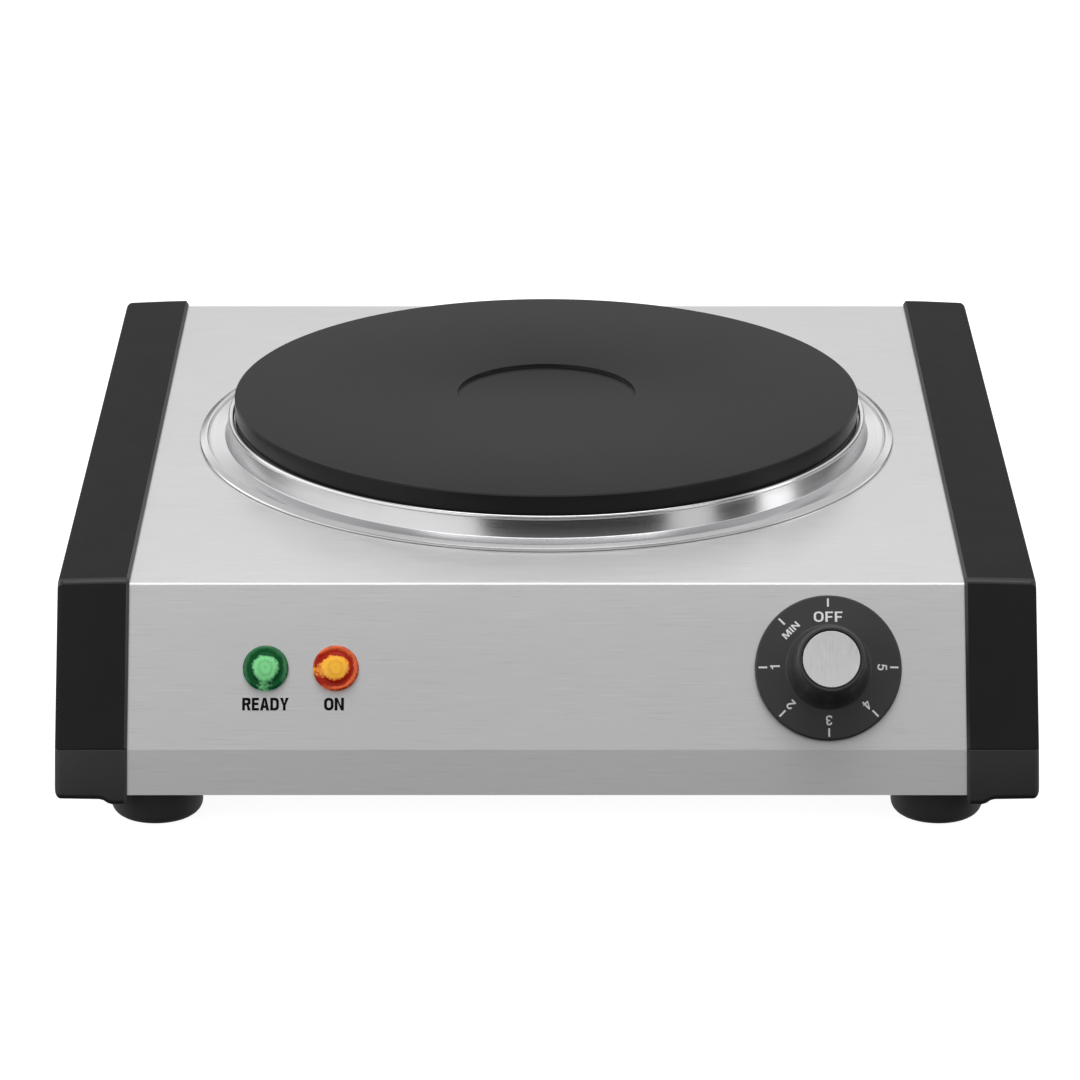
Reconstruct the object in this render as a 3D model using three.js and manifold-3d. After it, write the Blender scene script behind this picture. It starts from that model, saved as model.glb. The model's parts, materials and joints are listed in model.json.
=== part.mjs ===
// A single-plate electric hot plate: a brushed steel housing between two black end panels, a cast-iron
// cooking plate in a drip ring, a thermostat with its knob, two indicator lamps and the wiring inside.
// Millimetres, +Z up, the knob side towards -Y. The origin is on the worktop, under the middle of the body.
import * as THREE from "three";
import { mergeVertices } from "three/addons/utils/BufferGeometryUtils.js";
import Module from "manifold-3d";

const wasm = await Module();
wasm.setup();

// ---- Driving dimensions ----
const GAP = 0.3; // between pieces that rest on each other
const SHEET = 0.8; // housing and base plate
const PLATE_RADIUS = 95.25; // a 7.5 inch cast-iron plate
const PLATE_RISE = 13.4; // cooking surface above the housing's top
const TOP_DEPTH = 262.7; // flat top, front to back
const FACE_RUN = 23.8; // sloping front face, forwards
const FACE_DROP = 41.2; // and down
const LIP_RUN = 4.7; // steeper lip under the face
const LIP_DROP = 11.8;
const LOW_Z = 12; // housing's lower edge above the worktop
const VISIBLE_HALF_WIDTH = 118.1; // brushed steel seen between the end panels
const PANEL_WIDTH = 20.4;
const PANEL_PROUD = 1.6; // end panels stand outside the housing's line
const PANEL_LOW_Z = 9.6;
const FOOT_RADIUS = 13.2;
const FOOT_X = 111;
const FOOT_Y = 127.5;
const CONTROL_X = 79.3; // the knob on the right, and the ready lamp as far to the left
const ON_LAMP_X = -59.5;
const CONTROL_DROP = 0.7; // the controls sit this far down the slope from the face's mid line

// ---- Lines worked out from them ----
const CREASE_Z = LOW_Z + LIP_DROP;
const TOP_Z = CREASE_Z + FACE_DROP;
const BODY_DEPTH = TOP_DEPTH + FACE_RUN + LIP_RUN;
const REAR_Y = BODY_DEPTH / 2;
const LOW_Y = -BODY_DEPTH / 2;
const CREASE_Y = LOW_Y + LIP_RUN;
const TOP_FRONT_Y = CREASE_Y + FACE_RUN;
const PLATE_Y = REAR_Y - TOP_DEPTH / 2;
const COOK_Z = TOP_Z + PLATE_RISE;
const FACE_ANGLE = Math.atan2(FACE_RUN, FACE_DROP);
const BASE_Z = LOW_Z + SHEET + GAP; // underside of the base plate, above the housing's flanges
const BASE_TOP_Z = BASE_Z + SHEET;
const HOUSING_LINE = [
  [REAR_Y, LOW_Z],
  [REAR_Y, TOP_Z],
  [TOP_FRONT_Y, TOP_Z],
  [CREASE_Y, CREASE_Z],
  [LOW_Y, LOW_Z],
];
const SHELL_HALF_WIDTH = VISIBLE_HALF_WIDTH + 3.9; // the steel's edges run on inside the end panels

// ---- Fixings: where each screw goes, in plan ----
const FLANGE_SCREWS = {
  front_left: [-60, LOW_Y + 8],
  front_right: [60, LOW_Y + 8],
  rear_left: [-60, REAR_Y - 5],
  rear_right: [60, REAR_Y - 5],
};
const PANEL_SCREW_X = 130.5;
const PANEL_SCREW_Y = 95;
const CORNERS = { front_left: [-1, -1], front_right: [1, -1], rear_left: [-1, 1], rear_right: [1, 1] };
const THERMOSTAT_SCREW_X = 14;
const GLAND_X = 80;
const GLAND_Z = 34;
const GLAND_BORE = 3.8;

// ---- Materials ----
function metal(colour, roughness) {
  return new THREE.MeshStandardMaterial({ color: colour, roughness, metalness: 1 });
}
function plain(colour, roughness, more = {}) {
  return new THREE.MeshStandardMaterial({ color: colour, roughness, metalness: 0, ...more });
}
const MATERIAL = {
  brushedSteel: metal(0xc4c5c6, 0.35),
  polishedSteel: metal(0xd2d3d4, 0.12),
  galvanised: metal(0x9a9da0, 0.5),
  screwSteel: metal(0xb4b6b8, 0.3),
  castIron: plain(0x2b2b2c, 0.6),
  blackPlastic: plain(0x1b1b1c, 0.35),
  knobPlastic: plain(0x262627, 0.45),
  capAluminium: metal(0xbfc0c1, 0.4),
  rubber: plain(0x151515, 0.75),
  greenLens: plain(0x1f9a52, 0.15, { transparent: true, opacity: 0.85 }),
  amberLens: plain(0xe0601a, 0.15, { transparent: true, opacity: 0.85 }),
  whitePlastic: plain(0xd9d5c8, 0.5),
  ceramic: plain(0xe4ded0, 0.6),
  mineralWool: plain(0xcfc8b4, 0.95),
  sheath: metal(0x5e5a55, 0.55),
  brass: metal(0xb8954a, 0.35),
  redWire: plain(0x9b2a20, 0.7),
  whiteWire: plain(0xd8d4c6, 0.7),
  earthWire: plain(0x5d8a36, 0.6),
};

// ---- Solids: booleans and the shapes that repeat ----
function solidOf(geometry) {
  const bare = geometry.index ? geometry.toNonIndexed() : geometry.clone();
  bare.deleteAttribute("normal");
  bare.deleteAttribute("uv");
  const merged = mergeVertices(bare, 1e-4);
  return new wasm.Manifold(
    new wasm.Mesh({
      numProp: 3,
      vertProperties: merged.getAttribute("position").array,
      triVerts: new Uint32Array(merged.index.array),
    }),
  );
}

function geometryOf(solid) {
  const { numProp, numVert, vertProperties, triVerts } = solid.getMesh();
  const positions = new Float32Array(numVert * 3);
  for (let i = 0; i < numVert; i++) {
    positions.set(vertProperties.subarray(i * numProp, i * numProp + 3), i * 3);
  }
  return new THREE.BufferGeometry()
    .setAttribute("position", new THREE.BufferAttribute(positions, 3))
    .setIndex(new THREE.BufferAttribute(triVerts, 1));
}

function cut(geometry, ...tools) {
  return geometryOf(tools.reduce((left, tool) => left.subtract(solidOf(tool)), solidOf(geometry)));
}

function join(geometry, ...others) {
  return geometryOf(others.reduce((sum, other) => sum.add(solidOf(other)), solidOf(geometry)));
}

// A block between two opposite corners.
function block([x0, y0, z0], [x1, y1, z1]) {
  return new THREE.BoxGeometry(x1 - x0, y1 - y0, z1 - z0).translate((x0 + x1) / 2, (y0 + y1) / 2, (z0 + z1) / 2);
}

// A round bar along Z.
function rod(radius, fromZ, toZ, sides = 20) {
  return new THREE.CylinderGeometry(radius, radius, toZ - fromZ, sides)
    .rotateX(Math.PI / 2)
    .translate(0, 0, (fromZ + toZ) / 2);
}

// A profile of [radius, z] points turned about Z. It starts and ends on the axis.
function turned(profile, sides = 24) {
  const points = profile.map(([r, z]) => new THREE.Vector2(r, z));
  return new THREE.LatheGeometry(points, sides).rotateX(Math.PI / 2);
}

// A closed profile that stays clear of the axis, turned about Z.
function turnedRing(profile, sides = 24) {
  return turned([...profile, profile[0]], sides);
}

function outlineShape(outline) {
  return new THREE.Shape(outline.map(([u, v]) => new THREE.Vector2(u, v)));
}

// An outline of [y, z] points extruded along X.
function alongX(outline, fromX, toX) {
  const turn = new THREE.Matrix4().set(0, 0, 1, 0, 1, 0, 0, 0, 0, 1, 0, 0, 0, 0, 0, 1);
  return new THREE.ExtrudeGeometry(outlineShape(outline), { depth: toX - fromX, bevelEnabled: false })
    .applyMatrix4(turn)
    .translate(fromX, 0, 0);
}

// An outline of [x, z] points extruded along Y.
function alongY(outline, fromY, toY) {
  return new THREE.ExtrudeGeometry(outlineShape(outline), { depth: toY - fromY, bevelEnabled: false })
    .rotateX(Math.PI / 2)
    .translate(0, toY, 0);
}

// An open line moved sideways with mitred corners. A positive distance is to the left of its direction.
function offsetLine(line, distance) {
  const points = line.map(([u, v]) => new THREE.Vector2(u, v));
  const sideways = points.slice(1).map((p, i) => {
    const along = p.clone().sub(points[i]).normalize();
    return new THREE.Vector2(-along.y, along.x);
  });
  return points.map((p, i) => {
    const before = sideways[Math.max(i - 1, 0)];
    const after = sideways[Math.min(i, sideways.length - 1)];
    const mitre = before.clone().add(after).normalize();
    return p.clone().addScaledVector(mitre, distance / mitre.dot(before)).toArray();
  });
}

// Slides both ends of a line along their own segments to one height.
function levelEnds(line, z) {
  const slide = ([u0, v0], [u1, v1]) => [u0 + ((z - v0) * (u1 - u0)) / (v1 - v0), z];
  const last = line.length - 1;
  return line.map((p, i) => (i === 0 ? slide(p, line[1]) : i === last ? slide(p, line[last - 1]) : p));
}

// The outline of a bent sheet that lies to the left of a line.
function bentSheet(line, thickness) {
  return [...line, ...offsetLine(line, thickness).reverse()];
}

// A tube that follows a smooth curve through points.
function tube(points, radius, steps, sides = 8) {
  const section = new THREE.Shape();
  for (let i = 0; i < sides; i++) {
    const angle = (i / sides) * 2 * Math.PI;
    const move = i ? "lineTo" : "moveTo";
    section[move](radius * Math.cos(angle), radius * Math.sin(angle));
  }
  const path = new THREE.CatmullRomCurve3(points.map((p) => new THREE.Vector3(...p)));
  return new THREE.ExtrudeGeometry(section, { extrudePath: path, steps, bevelEnabled: false });
}

// A pan-head screw that points up, with its head's bearing face at z = 0 and a cross recess below.
function panScrew(headRadius, headHeight, shankRadius, length) {
  const body = turned(
    [
      [0, -headHeight],
      [headRadius * 0.72, -headHeight],
      [headRadius, -headHeight * 0.55],
      [headRadius, 0],
      [shankRadius, 0],
      [shankRadius, length - shankRadius],
      [0, length],
    ],
    16,
  );
  const arm = headRadius * 0.55;
  const half = headRadius * 0.11;
  const depth = headHeight * 0.5;
  const bar = block([-arm, -half, -headHeight - 1], [arm, half, -headHeight + depth]);
  return cut(body, bar, bar.clone().rotateZ(Math.PI / 2));
}

// ---- The scene graph ----
const hotPlate = new THREE.Group();

// The sloping front face: x to the right, y up the slope, z outwards, from the line of the controls.
const face = new THREE.Group();
face.position.set(0, CREASE_Y + FACE_RUN / 2, CREASE_Z + FACE_DROP / 2);
face.rotation.x = Math.PI / 2 - FACE_ANGLE;
face.translateY(-CONTROL_DROP);
face.updateMatrix();
const control = new THREE.Group();
control.position.x = CONTROL_X;
face.add(control);

// The cooking plate's axis.
const plateAxis = new THREE.Group();
plateAxis.position.y = PLATE_Y;

// The rear wall round the cord gland: z outwards from the wall.
const rearWall = new THREE.Group();
rearWall.position.set(GLAND_X, REAR_Y, GLAND_Z);
rearWall.rotation.x = -Math.PI / 2;
hotPlate.add(face, plateAxis, rearWall);

function add(parent, name, geometry, material, [x, y, z] = [0, 0, 0]) {
  const mesh = new THREE.Mesh(geometry, material);
  mesh.name = name;
  mesh.position.set(x, y, z);
  parent.add(mesh);
  return mesh;
}

// ---- Housing ----
const ROUND = 48; // sides of the large round parts
const PLATE_HOLE_RADIUS = 93;
const SPINDLE_HOLE_RADIUS = 5.3;
const LAMP_HOLE_RADIUS = 5.6;
const GLAND_HOLE_RADIUS = 7.3;
const FLANGE_HALF_LENGTH = 90;
const FLANGE_DEPTH = 11.5;

function onFace(tool, x) {
  return tool.translate(x, 0, 0).applyMatrix4(face.matrix);
}

function housingShell() {
  const half = SHELL_HALF_WIDTH;
  const inner = levelEnds(offsetLine(HOUSING_LINE, SHEET), LOW_Z);
  const skin = alongX([...HOUSING_LINE, ...inner.reverse()], -half, half);
  const flangeZ = [LOW_Z, LOW_Z + SHEET];
  const front = block(
    [-FLANGE_HALF_LENGTH, LOW_Y + SHEET / 2, flangeZ[0]],
    [FLANGE_HALF_LENGTH, LOW_Y + FLANGE_DEPTH, flangeZ[1]],
  );
  const rear = block(
    [-FLANGE_HALF_LENGTH, REAR_Y - FLANGE_DEPTH, flangeZ[0]],
    [FLANGE_HALF_LENGTH, REAR_Y - SHEET / 2, flangeZ[1]],
  );
  const through = [-4, 3];
  const holes = [
    rod(PLATE_HOLE_RADIUS, TOP_Z - 4, TOP_Z + 4, ROUND).translate(0, PLATE_Y, 0),
    onFace(rod(SPINDLE_HOLE_RADIUS, ...through), CONTROL_X),
    onFace(rod(2.2, ...through, 12), CONTROL_X - THERMOSTAT_SCREW_X),
    onFace(rod(2.2, ...through, 12), CONTROL_X + THERMOSTAT_SCREW_X),
    onFace(rod(LAMP_HOLE_RADIUS, ...through), -CONTROL_X),
    onFace(rod(LAMP_HOLE_RADIUS, ...through), ON_LAMP_X),
    rod(GLAND_HOLE_RADIUS, -4, 4).rotateX(-Math.PI / 2).translate(GLAND_X, REAR_Y, GLAND_Z),
    ...Object.values(FLANGE_SCREWS).map(([x, y]) => rod(1.9, LOW_Z - 1, LOW_Z + 2, 12).translate(x, y, 0)),
  ];
  return cut(join(skin, front, rear), ...holes);
}

// The right-hand end panel: a deep tray, open towards the housing, whose rim covers the steel's edges.
function endPanel() {
  const outer = levelEnds(offsetLine(HOUSING_LINE, -PANEL_PROUD), PANEL_LOW_Z);
  const insideLine = offsetLine(HOUSING_LINE, -GAP);
  const inner = levelEnds(insideLine, LOW_Z - GAP);
  const openBelow = levelEnds(insideLine, PANEL_LOW_Z - 1);
  const x0 = VISIBLE_HALF_WIDTH;
  const x1 = x0 + PANEL_WIDTH;
  const sideWall = 2.5;
  const rimX = FOOT_X + FOOT_RADIUS + 2.3; // the bottom rim stays clear of the feet
  const tray = cut(alongX(outer, x0, x1), alongX(inner, x0 - 1, x1 - sideWall), alongX(openBelow, x0 - 1, rimX));
  const bossZ = [BASE_TOP_Z + GAP, 34];
  const bosses = [-1, 1].flatMap((side) => {
    const y = side * PANEL_SCREW_Y;
    const post = rod(4, ...bossZ, 16).translate(PANEL_SCREW_X, y, 0);
    const web = block([PANEL_SCREW_X, y - 1.2, bossZ[0]], [x1 - sideWall + 0.5, y + 1.2, bossZ[1]]);
    return [post, web];
  });
  const ribZ = [BASE_TOP_Z + 2 * GAP, TOP_Z + 0.8];
  const ribs = [-40, 15, 70].map((y) => block([x1 - 9, y - 0.9, ribZ[0]], [x1 - 1, y + 0.9, ribZ[1]]));
  const screwHoles = [-1, 1].flatMap((side) => {
    const y = side * PANEL_SCREW_Y;
    const thread = rod(1.7, 0, 28, 12).translate(PANEL_SCREW_X, y, 0);
    const access = rod(4, 0, LOW_Z + 1, 16).translate(PANEL_SCREW_X, y, 0);
    return [thread, access];
  });
  return cut(join(tray, ...ribs, ...bosses), ...screwHoles);
}

function basePlate() {
  const halfX = 134;
  const plate = block([-halfX, LOW_Y + 3, BASE_Z], [halfX, REAR_Y - SHEET - 0.6, BASE_TOP_Z]);
  const hole = (radius, x, y) => rod(radius, BASE_Z - 1, BASE_TOP_Z + 1, 12).translate(x, y, 0);
  const corners = Object.values(CORNERS);
  const vents = [];
  for (const side of [-1, 1]) {
    for (let row = 0; row < 6; row++) {
      const y = -45 + row * 24;
      vents.push(block([side * 50 - 22, y - 1.8, BASE_Z - 1], [side * 50 + 22, y + 1.8, BASE_TOP_Z + 1]));
    }
  }
  return cut(
    plate,
    ...corners.map(([sx, sy]) => hole(2.3, sx * FOOT_X, sy * FOOT_Y)),
    ...corners.map(([sx, sy]) => hole(1.9, sx * PANEL_SCREW_X, sy * PANEL_SCREW_Y)),
    ...Object.values(FLANGE_SCREWS).map(([x, y]) => hole(1.8, x, y)),
    hole(1.8, EARTH_X, EARTH_Y),
    hole(1.8, BLOCK_X, BLOCK_Y),
    ...vents,
  );
}

// A rubber foot with a pocket below for its screw's head.
const FOOT_POCKET_Z = 5;
function rubberFoot() {
  const top = BASE_Z - GAP;
  return turnedRing([
    [4.3, 0],
    [10.2, 0],
    [12.3, 1.2],
    [FOOT_RADIUS, 4],
    [FOOT_RADIUS, top],
    [2.4, top],
    [2.4, FOOT_POCKET_Z],
    [4.3, FOOT_POCKET_Z],
  ]);
}

const BLOCK_X = GLAND_X;
const BLOCK_Y = 120;
const EARTH_X = 112;
const EARTH_Y = 106;

add(hotPlate, "housing_shell", housingShell(), MATERIAL.brushedSteel);
const panelGeometry = endPanel();
add(hotPlate, "right_end_panel", panelGeometry, MATERIAL.blackPlastic);
add(hotPlate, "left_end_panel", panelGeometry, MATERIAL.blackPlastic).scale.x = -1;
add(hotPlate, "base_plate", basePlate(), MATERIAL.galvanised);

const footGeometry = rubberFoot();
const footScrew = panScrew(3.7, 2.2, 1.9, 14);
const panelScrew = panScrew(3.4, 1.8, 1.4, 12);
const flangeScrew = panScrew(2.9, 1.2, 1.5, 7);
for (const [corner, [sx, sy]] of Object.entries(CORNERS)) {
  const [x, y] = [sx * FOOT_X, sy * FOOT_Y];
  add(hotPlate, `foot_${corner}`, footGeometry, MATERIAL.rubber, [x, y, 0]);
  add(hotPlate, `foot_screw_${corner}`, footScrew, MATERIAL.screwSteel, [x, y, FOOT_POCKET_Z - GAP]);
  const at = [sx * PANEL_SCREW_X, sy * PANEL_SCREW_Y, BASE_Z - GAP];
  add(hotPlate, `panel_screw_${corner}`, panelScrew, MATERIAL.screwSteel, at);
  const [flangeX, flangeY] = FLANGE_SCREWS[corner];
  const below = [flangeX, flangeY, LOW_Z - GAP];
  add(hotPlate, `base_screw_${corner}`, flangeScrew, MATERIAL.screwSteel, below);
}

// ---- Cooking plate, drip ring and what is under them ----
const CAVITY_Z = COOK_Z - 6; // roof of the hollow that holds the heating element
const SKIRT_Z = TOP_Z - 3; // lower edge of the plate's skirt, and of its centre boss
const RIM_Z = TOP_Z + 6.6; // underside of the plate's overhanging rim

function cookingPlate() {
  const recess = { radius: 27, depth: 1 };
  return turned(
    [
      [0, SKIRT_Z + 8],
      [3.3, SKIRT_Z + 8],
      [3.3, SKIRT_Z],
      [11, SKIRT_Z],
      [12, CAVITY_Z],
      [86, CAVITY_Z],
      [86.2, SKIRT_Z],
      [90.6, SKIRT_Z],
      [91, RIM_Z],
      [PLATE_RADIUS - 0.3, RIM_Z],
      [PLATE_RADIUS, COOK_Z - 0.7],
      [PLATE_RADIUS - 0.7, COOK_Z],
      [recess.radius, COOK_Z],
      [recess.radius, COOK_Z - recess.depth],
      [0, COOK_Z - recess.depth],
    ],
    ROUND,
  );
}

// A pressed ring: a beaded flange on the housing, a collar up to the plate's rim and a ledge under it.
function dripRing() {
  const z = TOP_Z + GAP;
  const lip = TOP_Z + 7.9;
  const ledge = RIM_Z - GAP;
  return turnedRing(
    [
      [97.9, z],
      [106.2, z],
      [106.2, z + 0.4],
      [105.4, z + 1.3],
      [104.2, z + 1.3],
      [103.4, z + 0.7],
      [98.9, z + 0.7],
      [98, z + 1.5],
      [97.1, lip - 0.5],
      [96.6, lip],
      [95.8, lip - 0.1],
      [95.6, ledge],
      [91.7, ledge],
      [91.7, ledge - 0.7],
      [96.3, ledge - 0.7],
      [97.3, z + 0.7],
    ],
    ROUND,
  );
}

// The sheathed element: a flat spiral under the plate whose two ends turn down as terminals.
const ELEMENT = { radius: 3.2, outer: 78, inner: 44, turns: 1.94, start: -80, tip: 50 };
const ELEMENT_Z = CAVITY_Z - ELEMENT.radius - GAP;

function spiralPoint(share, z) {
  const angle = THREE.MathUtils.degToRad(ELEMENT.start + share * ELEMENT.turns * 360);
  const r = ELEMENT.outer + share * (ELEMENT.inner - ELEMENT.outer);
  return [r * Math.cos(angle), r * Math.sin(angle), z];
}

function heatingElement(radius) {
  const points = [];
  const turnsPerPoint = 26;
  for (let i = 2; i <= turnsPerPoint - 2; i++) {
    points.push(spiralPoint(i / turnsPerPoint, ELEMENT_Z));
  }
  const bend = (share, step) => [
    spiralPoint(share, ELEMENT.tip),
    spiralPoint(share, ELEMENT.tip + 8),
    spiralPoint(share, ELEMENT_Z - 5.5),
    spiralPoint(share + step, ELEMENT_Z - 1),
  ];
  return tube([...bend(0, 0.014), ...points, ...bend(1, -0.016).reverse()], radius, 110);
}

function terminalHoles(radius, fromZ, toZ) {
  return [0, 1].map((share) => rod(radius, fromZ, toZ, 16).translate(...spiralPoint(share, 0)));
}

// The packed insulation that fills the plate's hollow and holds the element.
function insulationDisc() {
  const [low, high] = [SKIRT_Z, CAVITY_Z - GAP];
  const ring = turnedRing([[12.4, low], [85.4, low], [85.4, high], [12.4, high]], ROUND);
  return cut(ring, ...terminalHoles(5.4, low - 1, high + 1), heatingElement(ELEMENT.radius + 2 * GAP));
}

const COVER_Z = SKIRT_Z - GAP - SHEET;
function elementCover() {
  const [low, high] = [COVER_Z, COVER_Z + SHEET];
  const disc = turnedRing([[3.5, low], [90.3, low], [90.3, high], [3.5, high]], ROUND);
  return cut(disc, ...terminalHoles(5.4, low - 1, high + 1));
}

function bead() {
  return turnedRing([[3.9, -3], [5, -3], [5, 1.2], [3.9, 1.2]], 16);
}

function hexNut(height) {
  const hexagon = new THREE.CylinderGeometry(5.75, 5.75, height, 6).rotateX(Math.PI / 2).translate(0, 0, height / 2);
  return cut(hexagon, rod(3.3, -1, height + 1, 16));
}

// The strap under the plate: its ends press up against the housing when the centre nut is tightened.
const STRAP_Z = COVER_Z - 9.3;
const STRAP = { halfWidth: 11, thickness: 1.5, halfFlat: 88, halfShoulder: 99, halfLength: 112 };
function crossbar() {
  const high = TOP_Z - SHEET - GAP - STRAP.thickness;
  const low = STRAP_Z;
  const line = [
    [-STRAP.halfLength, high],
    [-STRAP.halfShoulder, high],
    [-STRAP.halfFlat, low],
    [STRAP.halfFlat, low],
    [STRAP.halfShoulder, high],
    [STRAP.halfLength, high],
  ];
  const strap = alongY(bentSheet(line, STRAP.thickness), -STRAP.halfWidth, STRAP.halfWidth);
  return cut(strap, rod(3.5, low - 2, low + 4, 16));
}

// A folded tunnel of bright sheet between the plate and the base.
function heatShield() {
  const [foot, roof, halfRoof, halfFoot, thickness] = [BASE_TOP_Z + GAP, 34, 95, 106, 0.6];
  const line = [
    [-halfFoot, foot],
    [-halfRoof, foot],
    [-halfRoof, roof],
    [halfRoof, roof],
    [halfRoof, foot],
    [halfFoot, foot],
  ];
  return alongY(bentSheet(line, thickness), -72 - PLATE_Y, 104 - PLATE_Y);
}

const NUT_HEIGHT = 5;
const nutTop = STRAP_Z - GAP;
const cutoutY = -60; // from the plate's axis
const cutoutZ = COVER_Z - GAP - 3.4;
const cutoutProfile = [[0, -15.4], [0.7, -15.4], [0.7, -10], [3, -9], [3, 7], [2, 9], [0.7, 10], [0.7, 15.4], [0, 15.4]];

add(plateAxis, "cooking_plate", cookingPlate(), MATERIAL.castIron);
add(plateAxis, "drip_ring", dripRing(), MATERIAL.polishedSteel);
add(plateAxis, "heating_element", heatingElement(ELEMENT.radius), MATERIAL.sheath);
add(plateAxis, "insulation_disc", insulationDisc(), MATERIAL.mineralWool);
add(plateAxis, "element_cover", elementCover(), MATERIAL.galvanised);
add(plateAxis, "element_bead_outer", bead(), MATERIAL.ceramic, spiralPoint(0, COVER_Z));
add(plateAxis, "element_bead_inner", bead(), MATERIAL.ceramic, spiralPoint(1, COVER_Z));
add(plateAxis, "plate_stud", rod(3, nutTop - NUT_HEIGHT - 2, SKIRT_Z + 7.5, 16), MATERIAL.screwSteel);
add(plateAxis, "cover_nut", hexNut(NUT_HEIGHT), MATERIAL.screwSteel, [0, 0, COVER_Z - GAP - NUT_HEIGHT]);
add(plateAxis, "crossbar", crossbar(), MATERIAL.galvanised);
add(plateAxis, "crossbar_nut", hexNut(NUT_HEIGHT), MATERIAL.screwSteel, [0, 0, nutTop - NUT_HEIGHT]);
add(plateAxis, "heat_shield", heatShield(), MATERIAL.galvanised);
add(
  plateAxis,
  "thermal_cutout",
  turned(cutoutProfile, 16).rotateY(Math.PI / 2),
  MATERIAL.ceramic,
  [0, cutoutY, cutoutZ],
);

// ---- Knob and thermostat, along the control's axis ----
const KNOB_HEIGHT = 17.9;
const SPINDLE_RADIUS = 2.9;
const SPINDLE_TIP_Z = -8.5;
const BLADE = { halfWidth: 3, thickness: 0.4, rootX: -11, hingeX: -9, tipX: 12, topZ: SPINDLE_TIP_Z - 0.4 };
const BIMETAL_Z = -13.4;

function controlKnob() {
  const clear = 0.7; // between the turning skirt and the face
  return turned(
    [
      [0, 12.4],
      [SPINDLE_RADIUS + GAP, 12.4],
      [SPINDLE_RADIUS + GAP, 2.1],
      [5.8, 2.1],
      [11, 2],
      [17.9, 1.7],
      [18.6, clear],
      [20.65, clear],
      [20.7, 1.8],
      [20.3, 2.2],
      [12.6, 3],
      [11.5, 3.9],
      [10.5, 6.4],
      [9.6, KNOB_HEIGHT - 0.7],
      [9.2, KNOB_HEIGHT - 0.2],
      [8.4, KNOB_HEIGHT - 0.2],
      [8.4, KNOB_HEIGHT - 1.2],
      [0, KNOB_HEIGHT - 1.2],
    ],
    36,
  );
}

function knobCap() {
  const low = KNOB_HEIGHT - 1.2 + GAP;
  return turned([[0, low], [8.05, low], [8.05, KNOB_HEIGHT - 0.2], [7.8, KNOB_HEIGHT], [0, KNOB_HEIGHT]], 36);
}

function spindle() {
  const shaft = rod(SPINDLE_RADIUS, SPINDLE_TIP_Z, 12, 20);
  return cut(shaft, block([-4, 1.9, 2.2], [4, 4, 13]));
}

// The mounting bracket, with the spindle's bush riveted in it.
function thermostatBracket() {
  const bore = SPINDLE_RADIUS + GAP;
  const bush = turned([[0, -6.5], [6.6, -6.5], [6.6, -2], [4.6, -2], [4.6, 1.7], [0, 1.7]], 20);
  const plate = block([-19, -8, -2.3], [19, 8, -SHEET - GAP]);
  const screws = [-1, 1].map((side) => rod(1.8, -4, 1, 12).translate(side * THERMOSTAT_SCREW_X, 0, 0));
  return cut(join(plate, bush), rod(bore, -8, 3, 20), ...screws);
}

// The stack of ceramic insulators that holds the blades, to the left of the spindle.
const STACK = { x: -12, radius: 5, bottom: -18 };
function thermostatStack() {
  const column = rod(STACK.radius, STACK.bottom, -2.6, 16).translate(STACK.x, 0, 0);
  const halfSlot = BLADE.halfWidth + GAP;
  const slot = (top, height, fromX) => block([fromX, -halfSlot, top - height], [-6, halfSlot, top]);
  const screwRoom = rod(2.2, -7.6, -2, 12).translate(-THERMOSTAT_SCREW_X, 0, 0);
  return cut(
    column,
    screwRoom,
    slot(BLADE.topZ + 0.4, BLADE.thickness + 0.9, STACK.x),
    slot(BIMETAL_Z + GAP, 0.5 + 2 * GAP, -30),
  );
}

// The moving blade, which the spindle holds down, with its silver contact.
function contactBlade() {
  const blade = block(
    [BLADE.rootX, -BLADE.halfWidth, BLADE.topZ - BLADE.thickness],
    [BLADE.tipX, BLADE.halfWidth, BLADE.topZ],
  );
  const contact = rod(1.7, BLADE.topZ - BLADE.thickness - 0.9, BLADE.topZ - 0.2, 12).translate(9, 0, 0);
  return join(blade, contact);
}

// The fixed bimetal blade, with its own contact, and a tab for the wire.
function bimetalBlade() {
  const blade = block([-25, -BLADE.halfWidth, BIMETAL_Z - 0.5], [13, BLADE.halfWidth, BIMETAL_Z]);
  const contact = rod(1.7, BIMETAL_Z - 0.2, BIMETAL_Z + 1.6, 12).translate(9, 0, 0);
  return join(blade, contact);
}

const thermostatScrew = panScrew(3.2, 1.1, 1.5, 6).rotateX(Math.PI);
add(control, "control_knob", controlKnob(), MATERIAL.knobPlastic);
add(control, "knob_cap", knobCap(), MATERIAL.capAluminium);
add(control, "thermostat_spindle", spindle(), MATERIAL.brass);
add(control, "thermostat_bracket", thermostatBracket(), MATERIAL.galvanised);
add(control, "thermostat_stack", thermostatStack(), MATERIAL.ceramic);
add(control, "contact_blade", contactBlade(), MATERIAL.brass);
add(control, "bimetal_blade", bimetalBlade(), MATERIAL.brass);
add(control, "thermostat_screw_left", thermostatScrew, MATERIAL.screwSteel, [-THERMOSTAT_SCREW_X, 0, GAP]);
add(control, "thermostat_screw_right", thermostatScrew, MATERIAL.screwSteel, [THERMOSTAT_SCREW_X, 0, GAP]);

// ---- Indicator lamps ----
const LENS_STEM_Z = -7;
const HOLDER_END_Z = -22;

function lampLens() {
  return turned([
    [0, 1.2],
    [2.6, 0.9],
    [4.3, 0],
    [4.3, LENS_STEM_Z],
    [5.3, LENS_STEM_Z],
    [5.3, GAP],
    [6.45, GAP],
    [6.45, 1.2],
    [5.4, 2.2],
    [3, 2.9],
    [0, 3.1],
  ]);
}

function lampClip() {
  return turnedRing([[5.6, -1.7], [8.4, -1.7], [8.4, -SHEET - GAP], [5.6, -SHEET - GAP]], 20);
}

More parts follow.
